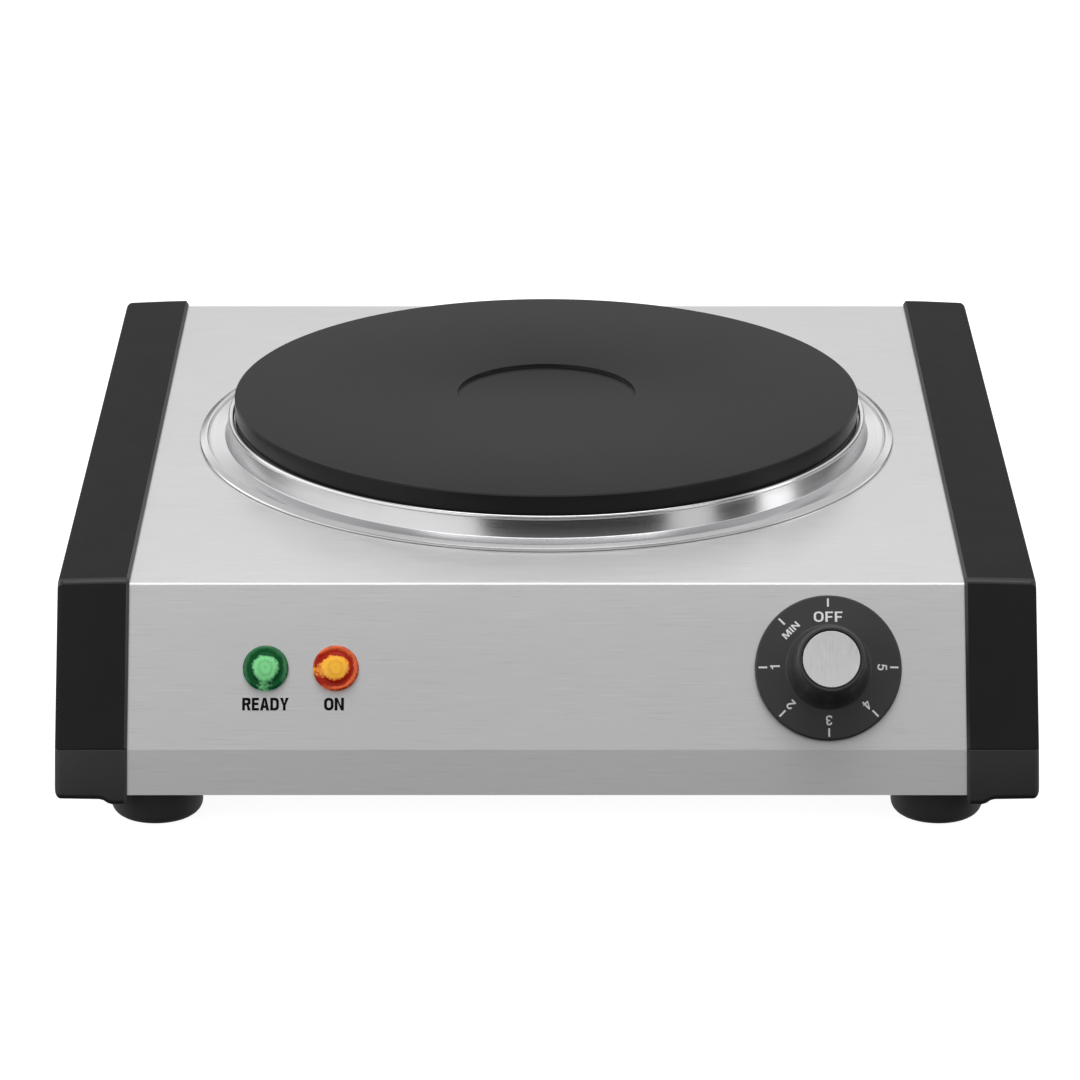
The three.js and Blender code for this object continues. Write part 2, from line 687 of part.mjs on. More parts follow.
function lampHolder() {
  const top = LENS_STEM_Z - GAP;
  const body = turned([[0, HOLDER_END_Z], [4.6, HOLDER_END_Z], [5.3, HOLDER_END_Z + 1], [5.3, top], [0, top]], 20);
  const neon = turned([[0, top - 1], [1.9, top - 1], [1.9, -1.6], [0, -0.6]], 12);
  const tabs = [-2.4, 2.4].map((x) => block([x - 0.4, -1.6, HOLDER_END_Z - 6], [x + 0.4, 1.6, HOLDER_END_Z + 1]));
  return join(body, neon, ...tabs);
}

for (const [lamp, x, lensMaterial] of [
  ["ready", -CONTROL_X, MATERIAL.greenLens],
  ["on", ON_LAMP_X, MATERIAL.amberLens],
]) {
  add(face, `${lamp}_lens`, lampLens(), lensMaterial, [x, 0, 0]);
  add(face, `${lamp}_lamp_clip`, lampClip(), MATERIAL.screwSteel, [x, 0, 0]);
  add(face, `${lamp}_lamp_holder`, lampHolder(), MATERIAL.whitePlastic, [x, 0, 0]);
}

// ---- Mains entry ----
function cordGland() {
  return turnedRing([
    [GLAND_BORE, -9],
    [6.2, -9],
    [7.9, -2.6],
    [7.9, -SHEET - GAP],
    [6.9, -SHEET - GAP],
    [6.9, GAP],
    [10.2, GAP],
    [10.2, 2.4],
    [8.6, 4.2],
    [GLAND_BORE, 4.2],
  ]);
}

const BLOCK = { halfX: 17, halfY: 8, low: BASE_TOP_Z + GAP, high: 29 };
const WELLS = [-11, 0, 11];
function terminalBlock() {
  const body = block([-BLOCK.halfX, -BLOCK.halfY, BLOCK.low], [BLOCK.halfX, BLOCK.halfY, BLOCK.high]);
  const wells = WELLS.map((x) => rod(3, 23, BLOCK.high + 1, 16).translate(x, x ? 0 : -2.5, 0));
  const entries = WELLS.filter((x) => x).map((x) => block([x - 2, -9, 19], [x + 2, 9, 23.5]));
  const sideEntry = block([-18, -2, 19], [-11, 2, 23.5]);
  return cut(body, ...wells, ...entries, sideEntry, rod(1.8, 0, 24, 12));
}

add(rearWall, "cord_gland", cordGland(), MATERIAL.blackPlastic);
add(hotPlate, "terminal_block", terminalBlock(), MATERIAL.ceramic, [BLOCK_X, BLOCK_Y, 0]);
const fixingScrew = panScrew(3, 1.6, 1.4, 6);
add(hotPlate, "terminal_block_screw", fixingScrew, MATERIAL.screwSteel, [BLOCK_X, BLOCK_Y, BASE_Z - GAP]);
add(hotPlate, "earth_screw", fixingScrew, MATERIAL.brass, [EARTH_X, EARTH_Y, BASE_Z - GAP]);

// ---- Internal wiring: sleeved leads, each on its own route ----
const WIRE_RADIUS = 1.3;
const onControl = (x, y, z) => new THREE.Vector3(CONTROL_X + x, y, z).applyMatrix4(face.matrix).toArray();
const onPlate = (share, z) => [spiralPoint(share, 0)[0], spiralPoint(share, 0)[1] + PLATE_Y, z];
const cutoutEnd = (side, out) => [side * (15.7 + out), cutoutY + PLATE_Y, cutoutZ];
const lampTab = (x, side, down) => new THREE.Vector3(x + side * 2.4, 0, HOLDER_END_Z - 6.4 - down);
const onLampTab = (...at) => lampTab(...at).applyMatrix4(face.matrix).toArray();
const blockEntry = (side, out) => [BLOCK_X + side * 11, BLOCK_Y - BLOCK.halfY - GAP - out, 21.2];

const WIRES = {
  live_wire: [
    blockEntry(1, 0), blockEntry(1, 3), [101, 106, 24], [111, 92, 22], [113, 50, 20], [113, -10, 20],
    [111, -60, 24], [102, -88, 28], [84, -97, 27], [70, -112, 20], onControl(-22, -22, -14),
    onControl(-24, -6, -9.6), onControl(-21.5, -0.6, -9.1), onControl(-17.8, 0, -9.1),
  ],
  neutral_wire: [
    blockEntry(-1, 0), blockEntry(-1, 2.4), [72, 107.4, 31], [90, 107.4, 38], [112, 96, 34], [118, 60, 28],
    [118, 0, 28], [116, -50, 33], [104, -72, 40], [70, -82, 42], [34, -80, 42], [17, -68, 43], onPlate(0, 44),
    onPlate(0, ELEMENT.tip - GAP),
  ],
  switched_wire: [
    onControl(-25.4, 0, BIMETAL_Z - 0.3), onControl(-30, 0, BIMETAL_Z - 2), [42, -98, 36], [33, -84, 47],
    [29, -62, 52], [24, -48, cutoutZ - 1], cutoutEnd(1, 4), cutoutEnd(1, 0),
  ],
  element_wire: [
    cutoutEnd(-1, 0), cutoutEnd(-1, 4), [-22, -38, 53], [-19, -31, 46], [-11, -29, 43.4], onPlate(1, 44.6),
    onPlate(1, ELEMENT.tip - GAP),
  ],
  lamp_feed_wire: [
    onControl(-25.4, -2, BIMETAL_Z - 4), [36, -111, 29], [0, -112, 22], [-35, -108, 21], [-52, -106, 24],
    onLampTab(ON_LAMP_X, 1, 3), onLampTab(ON_LAMP_X, 1, 0),
  ],
  lamp_link_wire: [
    onLampTab(ON_LAMP_X, -1, 0), onLampTab(ON_LAMP_X, -1, 3), onLampTab((ON_LAMP_X - CONTROL_X) / 2, 0, 8),
    onLampTab(-CONTROL_X, 1, 3), onLampTab(-CONTROL_X, 1, 0),
  ],
  lamp_return_wire: [
    onLampTab(-CONTROL_X, -1, 0), onLampTab(-CONTROL_X, -1, 3), [-92, -98, 20], [-108, -86, 17.5],
    [-113, -50, 17], [-113, 60, 17], [-108, 100, 17.5], [-80, 118, 18], [0, 122, 18], [48, 121, 19.5],
    [BLOCK_X - BLOCK.halfX - 4, BLOCK_Y, 21.2], [BLOCK_X - BLOCK.halfX - GAP, BLOCK_Y, 21.2],
  ],
  earth_wire: [
    [GLAND_X + 4, REAR_Y - 11, GLAND_Z - 4], [96, 131, 28], [104, 122, 22], [109, 113, 19.4],
    [EARTH_X - 1.5, EARTH_Y + 4.5, 17],
  ],
};
const WIRE_LOOKS = {
  live_wire: MATERIAL.redWire,
  switched_wire: MATERIAL.redWire,
  lamp_feed_wire: MATERIAL.redWire,
  earth_wire: MATERIAL.earthWire,
};
for (const [name, route] of Object.entries(WIRES)) {
  const steps = Math.min(60, Math.max(16, route.length * 4));
  add(hotPlate, name, tube(route, WIRE_RADIUS, steps), WIRE_LOOKS[name] ?? MATERIAL.whiteWire);
}

export default hotPlate;
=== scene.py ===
import json
import math

import bmesh
import bpy
from mathutils import Matrix, Vector


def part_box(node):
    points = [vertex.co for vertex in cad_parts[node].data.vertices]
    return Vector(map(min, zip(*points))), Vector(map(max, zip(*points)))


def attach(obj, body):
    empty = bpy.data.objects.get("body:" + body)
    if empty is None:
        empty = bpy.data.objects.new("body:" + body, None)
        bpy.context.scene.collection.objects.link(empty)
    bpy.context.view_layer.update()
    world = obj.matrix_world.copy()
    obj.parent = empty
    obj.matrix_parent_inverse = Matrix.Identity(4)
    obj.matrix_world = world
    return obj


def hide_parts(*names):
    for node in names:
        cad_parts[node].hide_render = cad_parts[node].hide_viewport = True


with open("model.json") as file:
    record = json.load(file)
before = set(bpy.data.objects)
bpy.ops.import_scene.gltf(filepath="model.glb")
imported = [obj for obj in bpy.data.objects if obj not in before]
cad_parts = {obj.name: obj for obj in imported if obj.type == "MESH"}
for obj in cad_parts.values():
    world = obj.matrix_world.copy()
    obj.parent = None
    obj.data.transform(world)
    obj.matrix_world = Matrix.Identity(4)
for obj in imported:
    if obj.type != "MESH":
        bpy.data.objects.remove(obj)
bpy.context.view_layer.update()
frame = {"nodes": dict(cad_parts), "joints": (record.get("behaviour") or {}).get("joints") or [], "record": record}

MM = 0.001

# ---- Places and sizes taken from the frame ----
housing_low, housing_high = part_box("housing_shell")
plate_low, plate_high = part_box("cooking_plate")
_, ring_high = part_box("drip_ring")
panel_low, panel_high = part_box("right_end_panel")
foot_low, foot_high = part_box("foot_front_right")
KNOB_JOINT = next(j for j in frame["joints"] if j["name"] == "knob_turn")

REAR_Y = housing_high.y
LOW_Y = housing_low.y
LOW_Z = housing_low.z
TOP_Z = housing_high.z
PLATE_Y = (plate_low.y + plate_high.y) / 2
PLATE_R = (plate_high.x - plate_low.x) / 2
COOK_Z = plate_high.z
CONTROL_AT = Vector(KNOB_JOINT["pos_m"])
OUTWARD = -Vector(KNOB_JOINT["axis"]).normalized()  # out of the sloping front face

# ---- Driving dimensions of the sheet-metal body, as in the CAD ----
SHEET = 0.8 * MM
GAP = 0.3 * MM
FOOT_CLEARANCE = 2.3 * MM  # from a foot to the end panel's lower rim
LIP_RUN = 4.7 * MM
LIP_DROP = 11.8 * MM
FACE_RUN = 23.8 * MM
CREASE = (LOW_Y + LIP_RUN, LOW_Z + LIP_DROP)
TOP_FRONT_Y = CREASE[0] + FACE_RUN
BODY_LINE = [
    (REAR_Y, LOW_Z),
    (REAR_Y, TOP_Z),
    (TOP_FRONT_Y, TOP_Z),
    CREASE,
    (LOW_Y, LOW_Z),
]
BEND_RADII = [0, 2.0 * MM, 1.2 * MM, 0.9 * MM, 0]  # at each corner of that line
PLATE_HOLE_R = 93 * MM
SPINDLE_HOLE_R = 5.3 * MM
LAMP_HOLE_R = 5.6 * MM
THERMOSTAT_SCREW_HOLE_R = 2.2 * MM
GLAND_HOLE_R = 7.3 * MM
BASE_SCREW_HOLE_R = 1.9 * MM
FLANGE_DEPTH = 11.5 * MM
FLANGE_HALF_LENGTH = 90 * MM
CUT = 4 * MM  # how far a hole's cutter runs past the sheet

# The sloping face's own axes: x right, y up the slope, z outwards.
UP_SLOPE = Vector((1, 0, 0)).cross(OUTWARD) * -1
FACE = Matrix.Translation(Vector((0, CONTROL_AT.y, CONTROL_AT.z))) @ Matrix(
    ((1, 0, 0), tuple(UP_SLOPE), tuple(OUTWARD))
).transposed().to_4x4()


def on_face(x, up=0.0, out=0.0):
    """A local frame on the sloping face: x from the middle, up the slope and out of it."""
    return FACE @ Matrix.Translation((x, up, out))


# ---- Outlines ----
def rounded(points, radii, steps=8):
    """A line with each inner corner replaced by an arc. Points are 2-D, radii go with the points."""
    out = [Vector(points[0])]
    for before, corner, after, radius in zip(points, points[1:], points[2:], radii[1:]):
        corner = Vector(corner)
        if radius == 0:
            out.append(corner)
            continue
        towards = (Vector(before) - corner).normalized()
        onward = (Vector(after) - corner).normalized()
        half = towards.angle(onward) / 2
        middle = (towards + onward).normalized()
        centre = corner + middle * (radius / math.sin(half))
        start = corner + towards * (radius / math.tan(half)) - centre
        end = corner + onward * (radius / math.tan(half)) - centre
        sweep = start.angle_signed(end)
        for i in range(steps + 1):
            out.append(centre + Matrix.Rotation(-sweep * i / steps, 2) @ start)
    out.append(Vector(points[-1]))
    return out


def offset_line(points, distance):
    """The line moved to its left by a distance, with mitred corners."""
    points = [Vector(p) for p in points]
    normals = []
    for a, b in zip(points, points[1:]):
        along = (b - a).normalized()
        normals.append(Vector((-along.y, along.x)))
    out = []
    for i, p in enumerate(points):
        before = normals[max(i - 1, 0)]
        after = normals[min(i, len(normals) - 1)]
        mitre = (before + after).normalized()
        out.append(p + mitre * (distance / mitre.dot(before)))
    return out


def level_ends(points, z):
    """Slides the line's two ends along their own segments to a height."""
    def slide(end, following):
        share = (z - end.y) / (following.y - end.y)
        return end + (following - end) * share
    points = [Vector(p) for p in points]
    return [slide(points[0], points[1]), *points[1:-1], slide(points[-1], points[-2])]


def closed_loop(corners, steps=5):
    """A closed outline from (x, y, corner radius) points."""
    middle = (Vector(corners[-1][:2]) + Vector(corners[0][:2])) / 2
    points = [middle, *[c[:2] for c in corners], middle]
    return rounded(points, [0, *[c[2] for c in corners], 0], steps)[:-1]


# ---- Mesh building ----
def piece(name, bm, material, body="base", replaces=(), place=None, crease=30):
    """Makes an object of a bmesh, with smooth faces and sharp edges above an angle."""
    bmesh.ops.recalc_face_normals(bm, faces=bm.faces)
    mesh = bpy.data.meshes.new(name)
    bm.to_mesh(mesh)
    bm.free()
    mesh.shade_smooth()
    mesh.set_sharp_from_angle(angle=math.radians(crease))
    obj = bpy.data.objects.new(name, mesh)
    bpy.context.scene.collection.objects.link(obj)
    if place is not None:
        obj.matrix_world = place
    obj.data.materials.append(material)
    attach(obj, body)
    if replaces:
        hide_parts(*replaces)
    return obj


def loft(rings):
    """Skins rings of equal length, each a list of 3-D points, and caps the first and the last."""
    bm = bmesh.new()
    rows = [[bm.verts.new(p) for p in ring] for ring in rings]
    count = len(rows[0])
    for a, b in zip(rows, rows[1:]):
        for i in range(count):
            j = (i + 1) % count
            bm.faces.new((a[i], a[j], b[j], b[i]))
    bm.faces.new(list(reversed(rows[0])))
    bm.faces.new(rows[-1])
    return bm


def lathe(profile, segments=128, close=False):
    """Turns (radius, z) points about Z. A profile that starts and ends on the axis is capped there."""
    bm = bmesh.new()
    rows = []
    for r, z in profile:
        if r < 1e-7:
            rows.append([bm.verts.new((0, 0, z))])
            continue
        angles = (2 * math.pi * i / segments for i in range(segments))
        rows.append([bm.verts.new((r * math.cos(a), r * math.sin(a), z)) for a in angles])
    pairs = list(zip(rows, rows[1:]))
    if close:
        pairs.append((rows[-1], rows[0]))
    for a, b in pairs:
        for i in range(segments):
            j = (i + 1) % segments
            corners = [a[i % len(a)], a[j % len(a)], b[j % len(b)], b[i % len(b)]]
            corners = list(dict.fromkeys(corners))
            if len(corners) > 2:
                bm.faces.new(corners)
    return bm


def round_profile(points, steps=6):
    """A lathe profile from (radius, z, corner radius) points in millimetres, rounded, in metres."""
    line = rounded([(r * MM, z * MM) for r, z, _ in points], [c * MM for _, _, c in points], steps)
    return [(max(p.x, 0.0), p.y) for p in line]


def extrude_x(outline, x0, x1):
    """A closed (y, z) outline extruded along X."""
    return loft([[(x, p[0], p[1]) for p in outline] for x in (x0, x1)])


def box_mesh(low, high):
    corners = [(low[0], low[1]), (high[0], low[1]), (high[0], high[1]), (low[0], high[1])]
    return loft([[(x, y, z) for x, y in corners] for z in (low[2], high[2])])


def tube_mesh(radius, low, high, segments=48):
    return lathe([(0, low), (radius, low), (radius, high), (0, high)], segments)


def flat_solid(loops, depth):
    """A thin solid of a flat outline and its holes, with its middle at z 0."""
    bm = bmesh.new()
    for loop in loops:
        verts = [bm.verts.new((p[0], p[1], -depth / 2)) for p in loop]
        for a, b in zip(verts, verts[1:] + verts[:1]):
            bm.edges.new((a, b))
    bmesh.ops.triangle_fill(bm, use_beauty=True, edges=bm.edges[:])
    raised = bmesh.ops.extrude_face_region(bm, geom=bm.faces[:], use_keep_orig=True)
    lifted = [item for item in raised["geom"] if isinstance(item, bmesh.types.BMVert)]
    bmesh.ops.translate(bm, verts=lifted, vec=(0, 0, depth))
    return bm


def moved(bm, matrix):
    bmesh.ops.transform(bm, matrix=matrix, verts=bm.verts)
    return bm


def combine(bm, other, operation):
    """Unites two solids, or cuts the second out of the first."""
    made = []
    for number, part in enumerate((bm, other)):
        bmesh.ops.recalc_face_normals(part, faces=part.faces)
        mesh = bpy.data.meshes.new(f"work{number}")
        part.to_mesh(mesh)
        part.free()
        obj = bpy.data.objects.new(mesh.name, mesh)
        bpy.context.scene.collection.objects.link(obj)
        made.append(obj)
    modifier = made[0].modifiers.new("combine", "BOOLEAN")
    modifier.operation = operation
    modifier.solver = "EXACT"
    modifier.object = made[1]
    evaluated = made[0].evaluated_get(bpy.context.evaluated_depsgraph_get())
    result = bmesh.new()
    result.from_mesh(evaluated.to_mesh())
    evaluated.to_mesh_clear()
    for obj in made:
        mesh = obj.data
        bpy.data.objects.remove(obj)
        bpy.data.meshes.remove(mesh)
    return result


# ---- Materials ----
class Shader:
    """A node material: a principled shader with helpers for procedural detail."""

    def __init__(self, name, **sockets):
        self.material = bpy.data.materials.new(name)
        self.material.use_nodes = True
        self.nodes = self.material.node_tree.nodes
        self.links = self.material.node_tree.links
        self.surface = self.nodes["Principled BSDF"]
        for socket, value in sockets.items():
            self.surface.inputs[socket.replace("_", " ")].default_value = value
        self.object_coordinates = self.nodes.new("ShaderNodeTexCoord").outputs["Object"]

    def add(self, kind, **settings):
        node = self.nodes.new(kind)
        for key, value in settings.items():
            setattr(node, key, value)
        return node

    def scaled(self, scale, source=None):
        mapping = self.add("ShaderNodeMapping")
        mapping.inputs["Scale"].default_value = scale
        self.links.new(source or self.object_coordinates, mapping.inputs["Vector"])
        return mapping.outputs["Vector"]

    def noise(self, scale, detail=2.0, roughness=0.5, source=None):
        """Noise with its grain stretched by a scale for each axis, per metre."""
        node = self.add("ShaderNodeTexNoise")
        node.inputs["Scale"].default_value = 1.0
        node.inputs["Detail"].default_value = detail
        node.inputs["Roughness"].default_value = roughness
        self.links.new(self.scaled(scale, source), node.inputs["Vector"])
        return node.outputs["Fac"]

    def ramp(self, factor, stops):
        """Maps a factor through (position, value or colour) stops."""
        node = self.add("ShaderNodeValToRGB")
        elements = node.color_ramp.elements
        while len(elements) < len(stops):
            elements.new(0.5)
        for element, (position, value) in zip(elements, stops):
            element.position = position
            element.color = (value, value, value, 1) if isinstance(value, (int, float)) else (*value, 1)
        self.links.new(factor, node.inputs["Fac"])
        return node.outputs["Color"]

    def math(self, operation, a, b):
        node = self.add("ShaderNodeMath", operation=operation)
        for socket, value in zip(node.inputs, (a, b)):
            if isinstance(value, (int, float)):
                socket.default_value = value
            else:
                self.links.new(value, socket)
        return node.outputs["Value"]

    def colour(self, output):
        self.links.new(output, self.surface.inputs["Base Color"])

    def roughness(self, output):
        self.links.new(output, self.surface.inputs["Roughness"])

    def bump(self, height, distance, strength):
        node = self.add("ShaderNodeBump")
        node.inputs["Strength"].default_value = strength
        node.inputs["Distance"].default_value = distance
        self.links.new(height, node.inputs["Height"])
        self.links.new(node.outputs["Normal"], self.surface.inputs["Normal"])

    def radius(self):
        """Distance from the object's own Z axis."""
        flat = self.scaled((1, 1, 0))
        length = self.add("ShaderNodeVectorMath", operation="LENGTH")
        self.links.new(flat, length.inputs[0])
        return length.outputs["Value"]

    def ring_source(self):
        """Coordinates whose x is the distance from the axis, for marks that run round it."""
        node = self.add("ShaderNodeCombineXYZ")
        self.links.new(self.radius(), node.inputs["X"])
        return node.outputs["Vector"]

    def spread_round(self, axis):
        """Turns the anisotropic spread into the plane square to an axis."""
        tangent = self.add("ShaderNodeTangent", direction_type="RADIAL", axis=axis)
        self.links.new(tangent.outputs["Tangent"], self.surface.inputs["Tangent"])


def brushed(name, tone, contrast, marks_per_metre, roughness, grain_axis=None, tint=(1, 1, 1),
            **sockets):
    """Metal with short, fine brush marks on an even ground, and a slow drift in tone."""
    shader = Shader(name, Metallic=1.0, **sockets)
    if grain_axis:
        shader.spread_round(grain_axis)
    marks = shader.noise(marks_per_metre, detail=2.0, roughness=0.55)
    drift = shader.noise((14, 14, 14), detail=2.0)
    sparse = shader.ramp(marks, [(0.27, 0.0), (0.41, 0.5), (0.6, 0.5), (0.74, 1.0)])
    mixed = shader.math("ADD", shader.math("MULTIPLY", sparse, 0.75), shader.math("MULTIPLY", drift, 0.25))
    dark, light = (tuple(c * tone * (1 + side * contrast) for c in tint) for side in (-1, 1))
    shader.colour(shader.ramp(mixed, [(0.1, dark), (0.9, light)]))
    shader.roughness(shader.ramp(marks, [(0.25, roughness[0]), (0.75, roughness[1])]))
    shader.bump(sparse, 0.01 * MM, 0.35)
    return shader.material


def moulded(name, colour, roughness, grain=0.015 * MM, scale=2200, **sockets):
    """Moulded plastic or rubber: an even colour with a fine eroded texture."""
    shader = Shader(name, **sockets)
    texture = shader.noise((scale, scale, scale), detail=3.0)
    wide = shader.noise((60, 60, 60), detail=2.0)
    light = tuple(min(1.0, c * 1.05) for c in colour)
    dark = tuple(c * 0.95 for c in colour)
    shader.colour(shader.ramp(wide, [(0.3, dark), (0.7, light)]))
    shader.roughness(shader.ramp(texture, [(0.3, roughness * 0.88), (0.7, min(1.0, roughness * 1.12))]))
    shader.bump(texture, grain, 0.6)
    return shader.material


def coated_iron(name, tone, roughness, specular):
    """The plate's black heat-proof coating: fine grain with faint turning marks under it."""
    shader = Shader(name, Specular_IOR_Level=specular)
    grain = shader.noise((1500, 1500, 1500), detail=4.0, roughness=0.6)
    turning = shader.noise((2600, 0, 0), detail=2.0, source=shader.ring_source())
    patches = shader.noise((28, 28, 28), detail=3.0)
    shader.colour(shader.ramp(patches, [(0.3, (tone * 0.88,) * 3), (0.7, (tone * 1.12,) * 3)]))
    shader.roughness(shader.ramp(turning, [(0.3, roughness - 0.03), (0.7, roughness + 0.03)]))
    shader.bump(grain, 0.03 * MM, 0.35)
    return shader.material


def polished_steel():
    """Pressed, polished ring: bright, with faint spinning marks."""
    shader = Shader("polished_steel", Metallic=1.0)
    turning = shader.noise((1800, 0, 0), detail=3.0, source=shader.ring_source())
    patches = shader.noise((45, 45, 45), detail=2.0)
    shader.colour(shader.ramp(patches, [(0.3, (0.70, 0.70, 0.71)), (0.7, (0.75, 0.75, 0.76))]))
    shader.roughness(shader.ramp(turning, [(0.3, 0.16), (0.7, 0.22)]))
    shader.bump(turning, 0.004 * MM, 0.2)
    return shader.material


def lens(name, centre, ring, rim, painted_light_direction):
    """A clear coloured lens: light in the middle, deep in the ring round it, and lighter out to one side, which is
    painted light.
    """
    shader = Shader(name, Roughness=0.16, Specular_IOR_Level=0.2, Emission_Strength=0.22)
    radius = shader.math("MULTIPLY", shader.radius(), 1 / (LENS_R * MM))
    swirl = shader.noise((330, 330, 330), detail=3.0, roughness=0.6)
    sparkle = shader.noise((1300, 1300, 1300), detail=2.0)
    shift = shader.math("MULTIPLY", shader.math("SUBTRACT", swirl, 0.5), 0.24)
    fine = shader.math("MULTIPLY", shader.math("SUBTRACT", sparkle, 0.5), 0.16)
    place = shader.math("ADD", shader.math("ADD", radius, shift), fine)
    # Painted light: the light middle is stretched out towards one side.
    towards = shader.add("ShaderNodeVectorMath", operation="DOT_PRODUCT")
    shader.links.new(shader.scaled((1, 1, 0)), towards.inputs[0])
    towards.inputs[1].default_value = [c / (LENS_R * MM) for c in (*painted_light_direction, 0)]
    painted_light_side = shader.math("POWER", shader.math("MAXIMUM", towards.outputs["Value"], 0.0), 3.0)
    place = shader.math("SUBTRACT", place, shader.math("MULTIPLY", painted_light_side, 0.5))
    deeper = tuple(c * 0.8 for c in centre)
    halfway = tuple((c + r) / 2 for c, r in zip(centre, rim))
    stops = [
        (0.0, deeper), (0.1, centre), (0.2, centre), (0.3, deeper), (0.38, centre), (0.46, centre),
        (0.52, halfway), (0.59, ring), (0.78, ring), (0.87, rim), (0.94, rim), (1.0, ring),
    ]
    tone = shader.ramp(place, stops)
    shader.colour(tone)
    shader.links.new(tone, shader.surface.inputs["Emission Color"])
    shader.bump(swirl, 0.25 * MM, 0.5)
    return shader.material


def printed(name, colour, specular):
    """Screen-printed ink, with fine specks in its tone and an uneven gloss."""
    shader = Shader(name, Specular_IOR_Level=specular)
    speck = shader.noise((3000, 3000, 3000), detail=2.0)
    shader.colour(shader.ramp(speck, [(0.25, tuple(c * 0.9 for c in colour)), (0.6, colour)]))
    shader.roughness(shader.ramp(speck, [(0.3, 0.45), (0.7, 0.6)]))
    return shader.material


def galvanised():
    """Zinc-coated sheet: patchy crystals of slightly different greys."""
    shader = Shader("galvanised", Metallic=1.0)
    crystals = shader.add("ShaderNodeTexVoronoi", feature="F1")
    crystals.inputs["Scale"].default_value = 160
    shader.links.new(shader.object_coordinates, crystals.inputs["Vector"])
    greys = [(0.2, (0.33, 0.34, 0.35)), (0.8, (0.46, 0.47, 0.48))]
    shader.colour(shader.ramp(crystals.outputs["Color"], greys))
    fine = shader.noise((900, 900, 900), detail=3.0)
    shader.roughness(shader.ramp(fine, [(0.3, 0.42), (0.7, 0.6)]))
    shader.bump(fine, 0.02 * MM, 0.4)
    return shader.material


def chalky(name, colour, roughness):
    """Ceramic or packed mineral: matt, with fine pores."""
    shader = Shader(name)
    pores = shader.noise((1800, 1800, 1800), detail=5.0, roughness=0.7)
    shader.colour(shader.ramp(pores, [(0.3, tuple(c * 0.8 for c in colour)), (0.55, colour)]))
    shader.roughness(shader.ramp(pores, [(0.3, min(1.0, roughness * 1.1)), (0.7, roughness * 0.9)]))
    shader.bump(pores, 0.05 * MM, 0.6)
    return shader.material


def braided(name, colour):
    """A woven glass-fibre sleeve."""
    shader = Shader(name)
    weave = shader.add("ShaderNodeTexWave", wave_type="BANDS", bands_direction="DIAGONAL")
    weave.inputs["Scale"].default_value = 420
    weave.inputs["Distortion"].default_value = 3.0
    shader.links.new(shader.object_coordinates, weave.inputs["Vector"])
    shader.colour(shader.ramp(weave.outputs["Fac"], [(0.2, tuple(c * 0.6 for c in colour)), (0.7, colour)]))
    shader.roughness(shader.ramp(weave.outputs["Fac"], [(0.2, 0.85), (0.8, 0.65)]))
    shader.bump(weave.outputs["Fac"], 0.08 * MM, 0.7)
    return shader.material


LENS_R = 6.45  # a lamp lens's radius, in millimetres

STEEL = brushed("housing_brushed_steel", 0.8, 0.075, (75, 2300, 2300), (0.36, 0.42), "X", Anisotropic=0.65)
# The panel's two copies differ in gloss and in tone. The satin copy's lighter tone is painted light on the faces
# that get it.
PANEL_SATIN_LIT_COPY = moulded("panel_satin_lit_copy", (0.027, 0.027, 0.0272), 0.33, grain=0.006 * MM, Specular_IOR_Level=0.35)
PANEL_MATT_SHADED_COPY = moulded("panel_matt_shaded_copy", (0.0245, 0.0245, 0.0247), 0.45, grain=0.006 * MM, Specular_IOR_Level=0.02)
KNOB_BLACK = moulded("knob_black", (0.044, 0.044, 0.0443), 0.45, grain=0.01 * MM, Specular_IOR_Level=0.4)
RUBBER_BLACK = moulded("rubber_black", (0.052, 0.052, 0.052), 0.5, 0.02 * MM, 1500, Specular_IOR_Level=0.5)
GLAND_BLACK = moulded("gland_black", (0.014, 0.014, 0.0143), 0.45, Specular_IOR_Level=0.3)
LAMP_WHITE = moulded("lamp_white", (0.66, 0.63, 0.54), 0.45)
COATED_IRON = coated_iron("coated_iron", 0.010, 0.33, 0.065)
# The edge's copy is smoother than the top and twice as light in tone. The lighter tone is a painted sheen.
TURNED_RIM_SHEEN = coated_iron("coated_iron_edge_sheen", 0.020, 0.22, 0.08)
RING_STEEL = polished_steel()
CAP_METAL = brushed("cap_brushed", 0.86, 0.16, (2300, 150, 2300), (0.38, 0.45), "Y", Anisotropic=0.5)
SCREW_STEEL = brushed("screw_zinc", 0.55, 0.12, (900, 900, 300), (0.25, 0.4))
BRASS = brushed("bare_brass", 0.55, 0.12, (900, 900, 300), (0.28, 0.42), tint=(1.0, 0.72, 0.28))
SHEATH = brushed("element_oxide", 0.14, 0.4, (500, 500, 500), (0.5, 0.7), tint=(1.0, 0.9, 0.8))
GALVANISED = galvanised()
# The last value for each lens is the side that gets its painted light.
GREEN_LENS = lens("green_lens", (0.22, 0.68, 0.28), (0.0, 0.07, 0.015), (0.035, 0.17, 0.065), (0, -1))
AMBER_LENS = lens("amber_lens", (1.0, 0.5, 0.05), (0.36, 0.015, 0.004), (0.72, 0.13, 0.04), (-1, -0.1))
WHITE_INK = printed("white_ink", (0.95, 0.95, 0.95), 0.5)
BLACK_INK = printed("black_ink", (0.003, 0.003, 0.003), 0.08)

INNER_LOOKS = {
    "galvanised_steel": GALVANISED,
    "screw_steel": SCREW_STEEL,
    "brass": BRASS,
    "element_sheath": SHEATH,
    "insulation": chalky("mineral_filling", (0.58, 0.53, 0.42), 0.95),
    "ceramic": chalky("white_ceramic", (0.74, 0.71, 0.62), 0.7),
    "lamp_plastic": LAMP_WHITE,
    "gland_plastic": GLAND_BLACK,
    "red_sleeve": braided("red_sleeve", (0.34, 0.03, 0.02)),
    "white_sleeve": braided("white_sleeve", (0.68, 0.65, 0.56)),
    "green_sleeve": braided("green_sleeve", (0.12, 0.28, 0.04)),
}


def middle_of(node):
    low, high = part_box(node)
    return (low + high) / 2


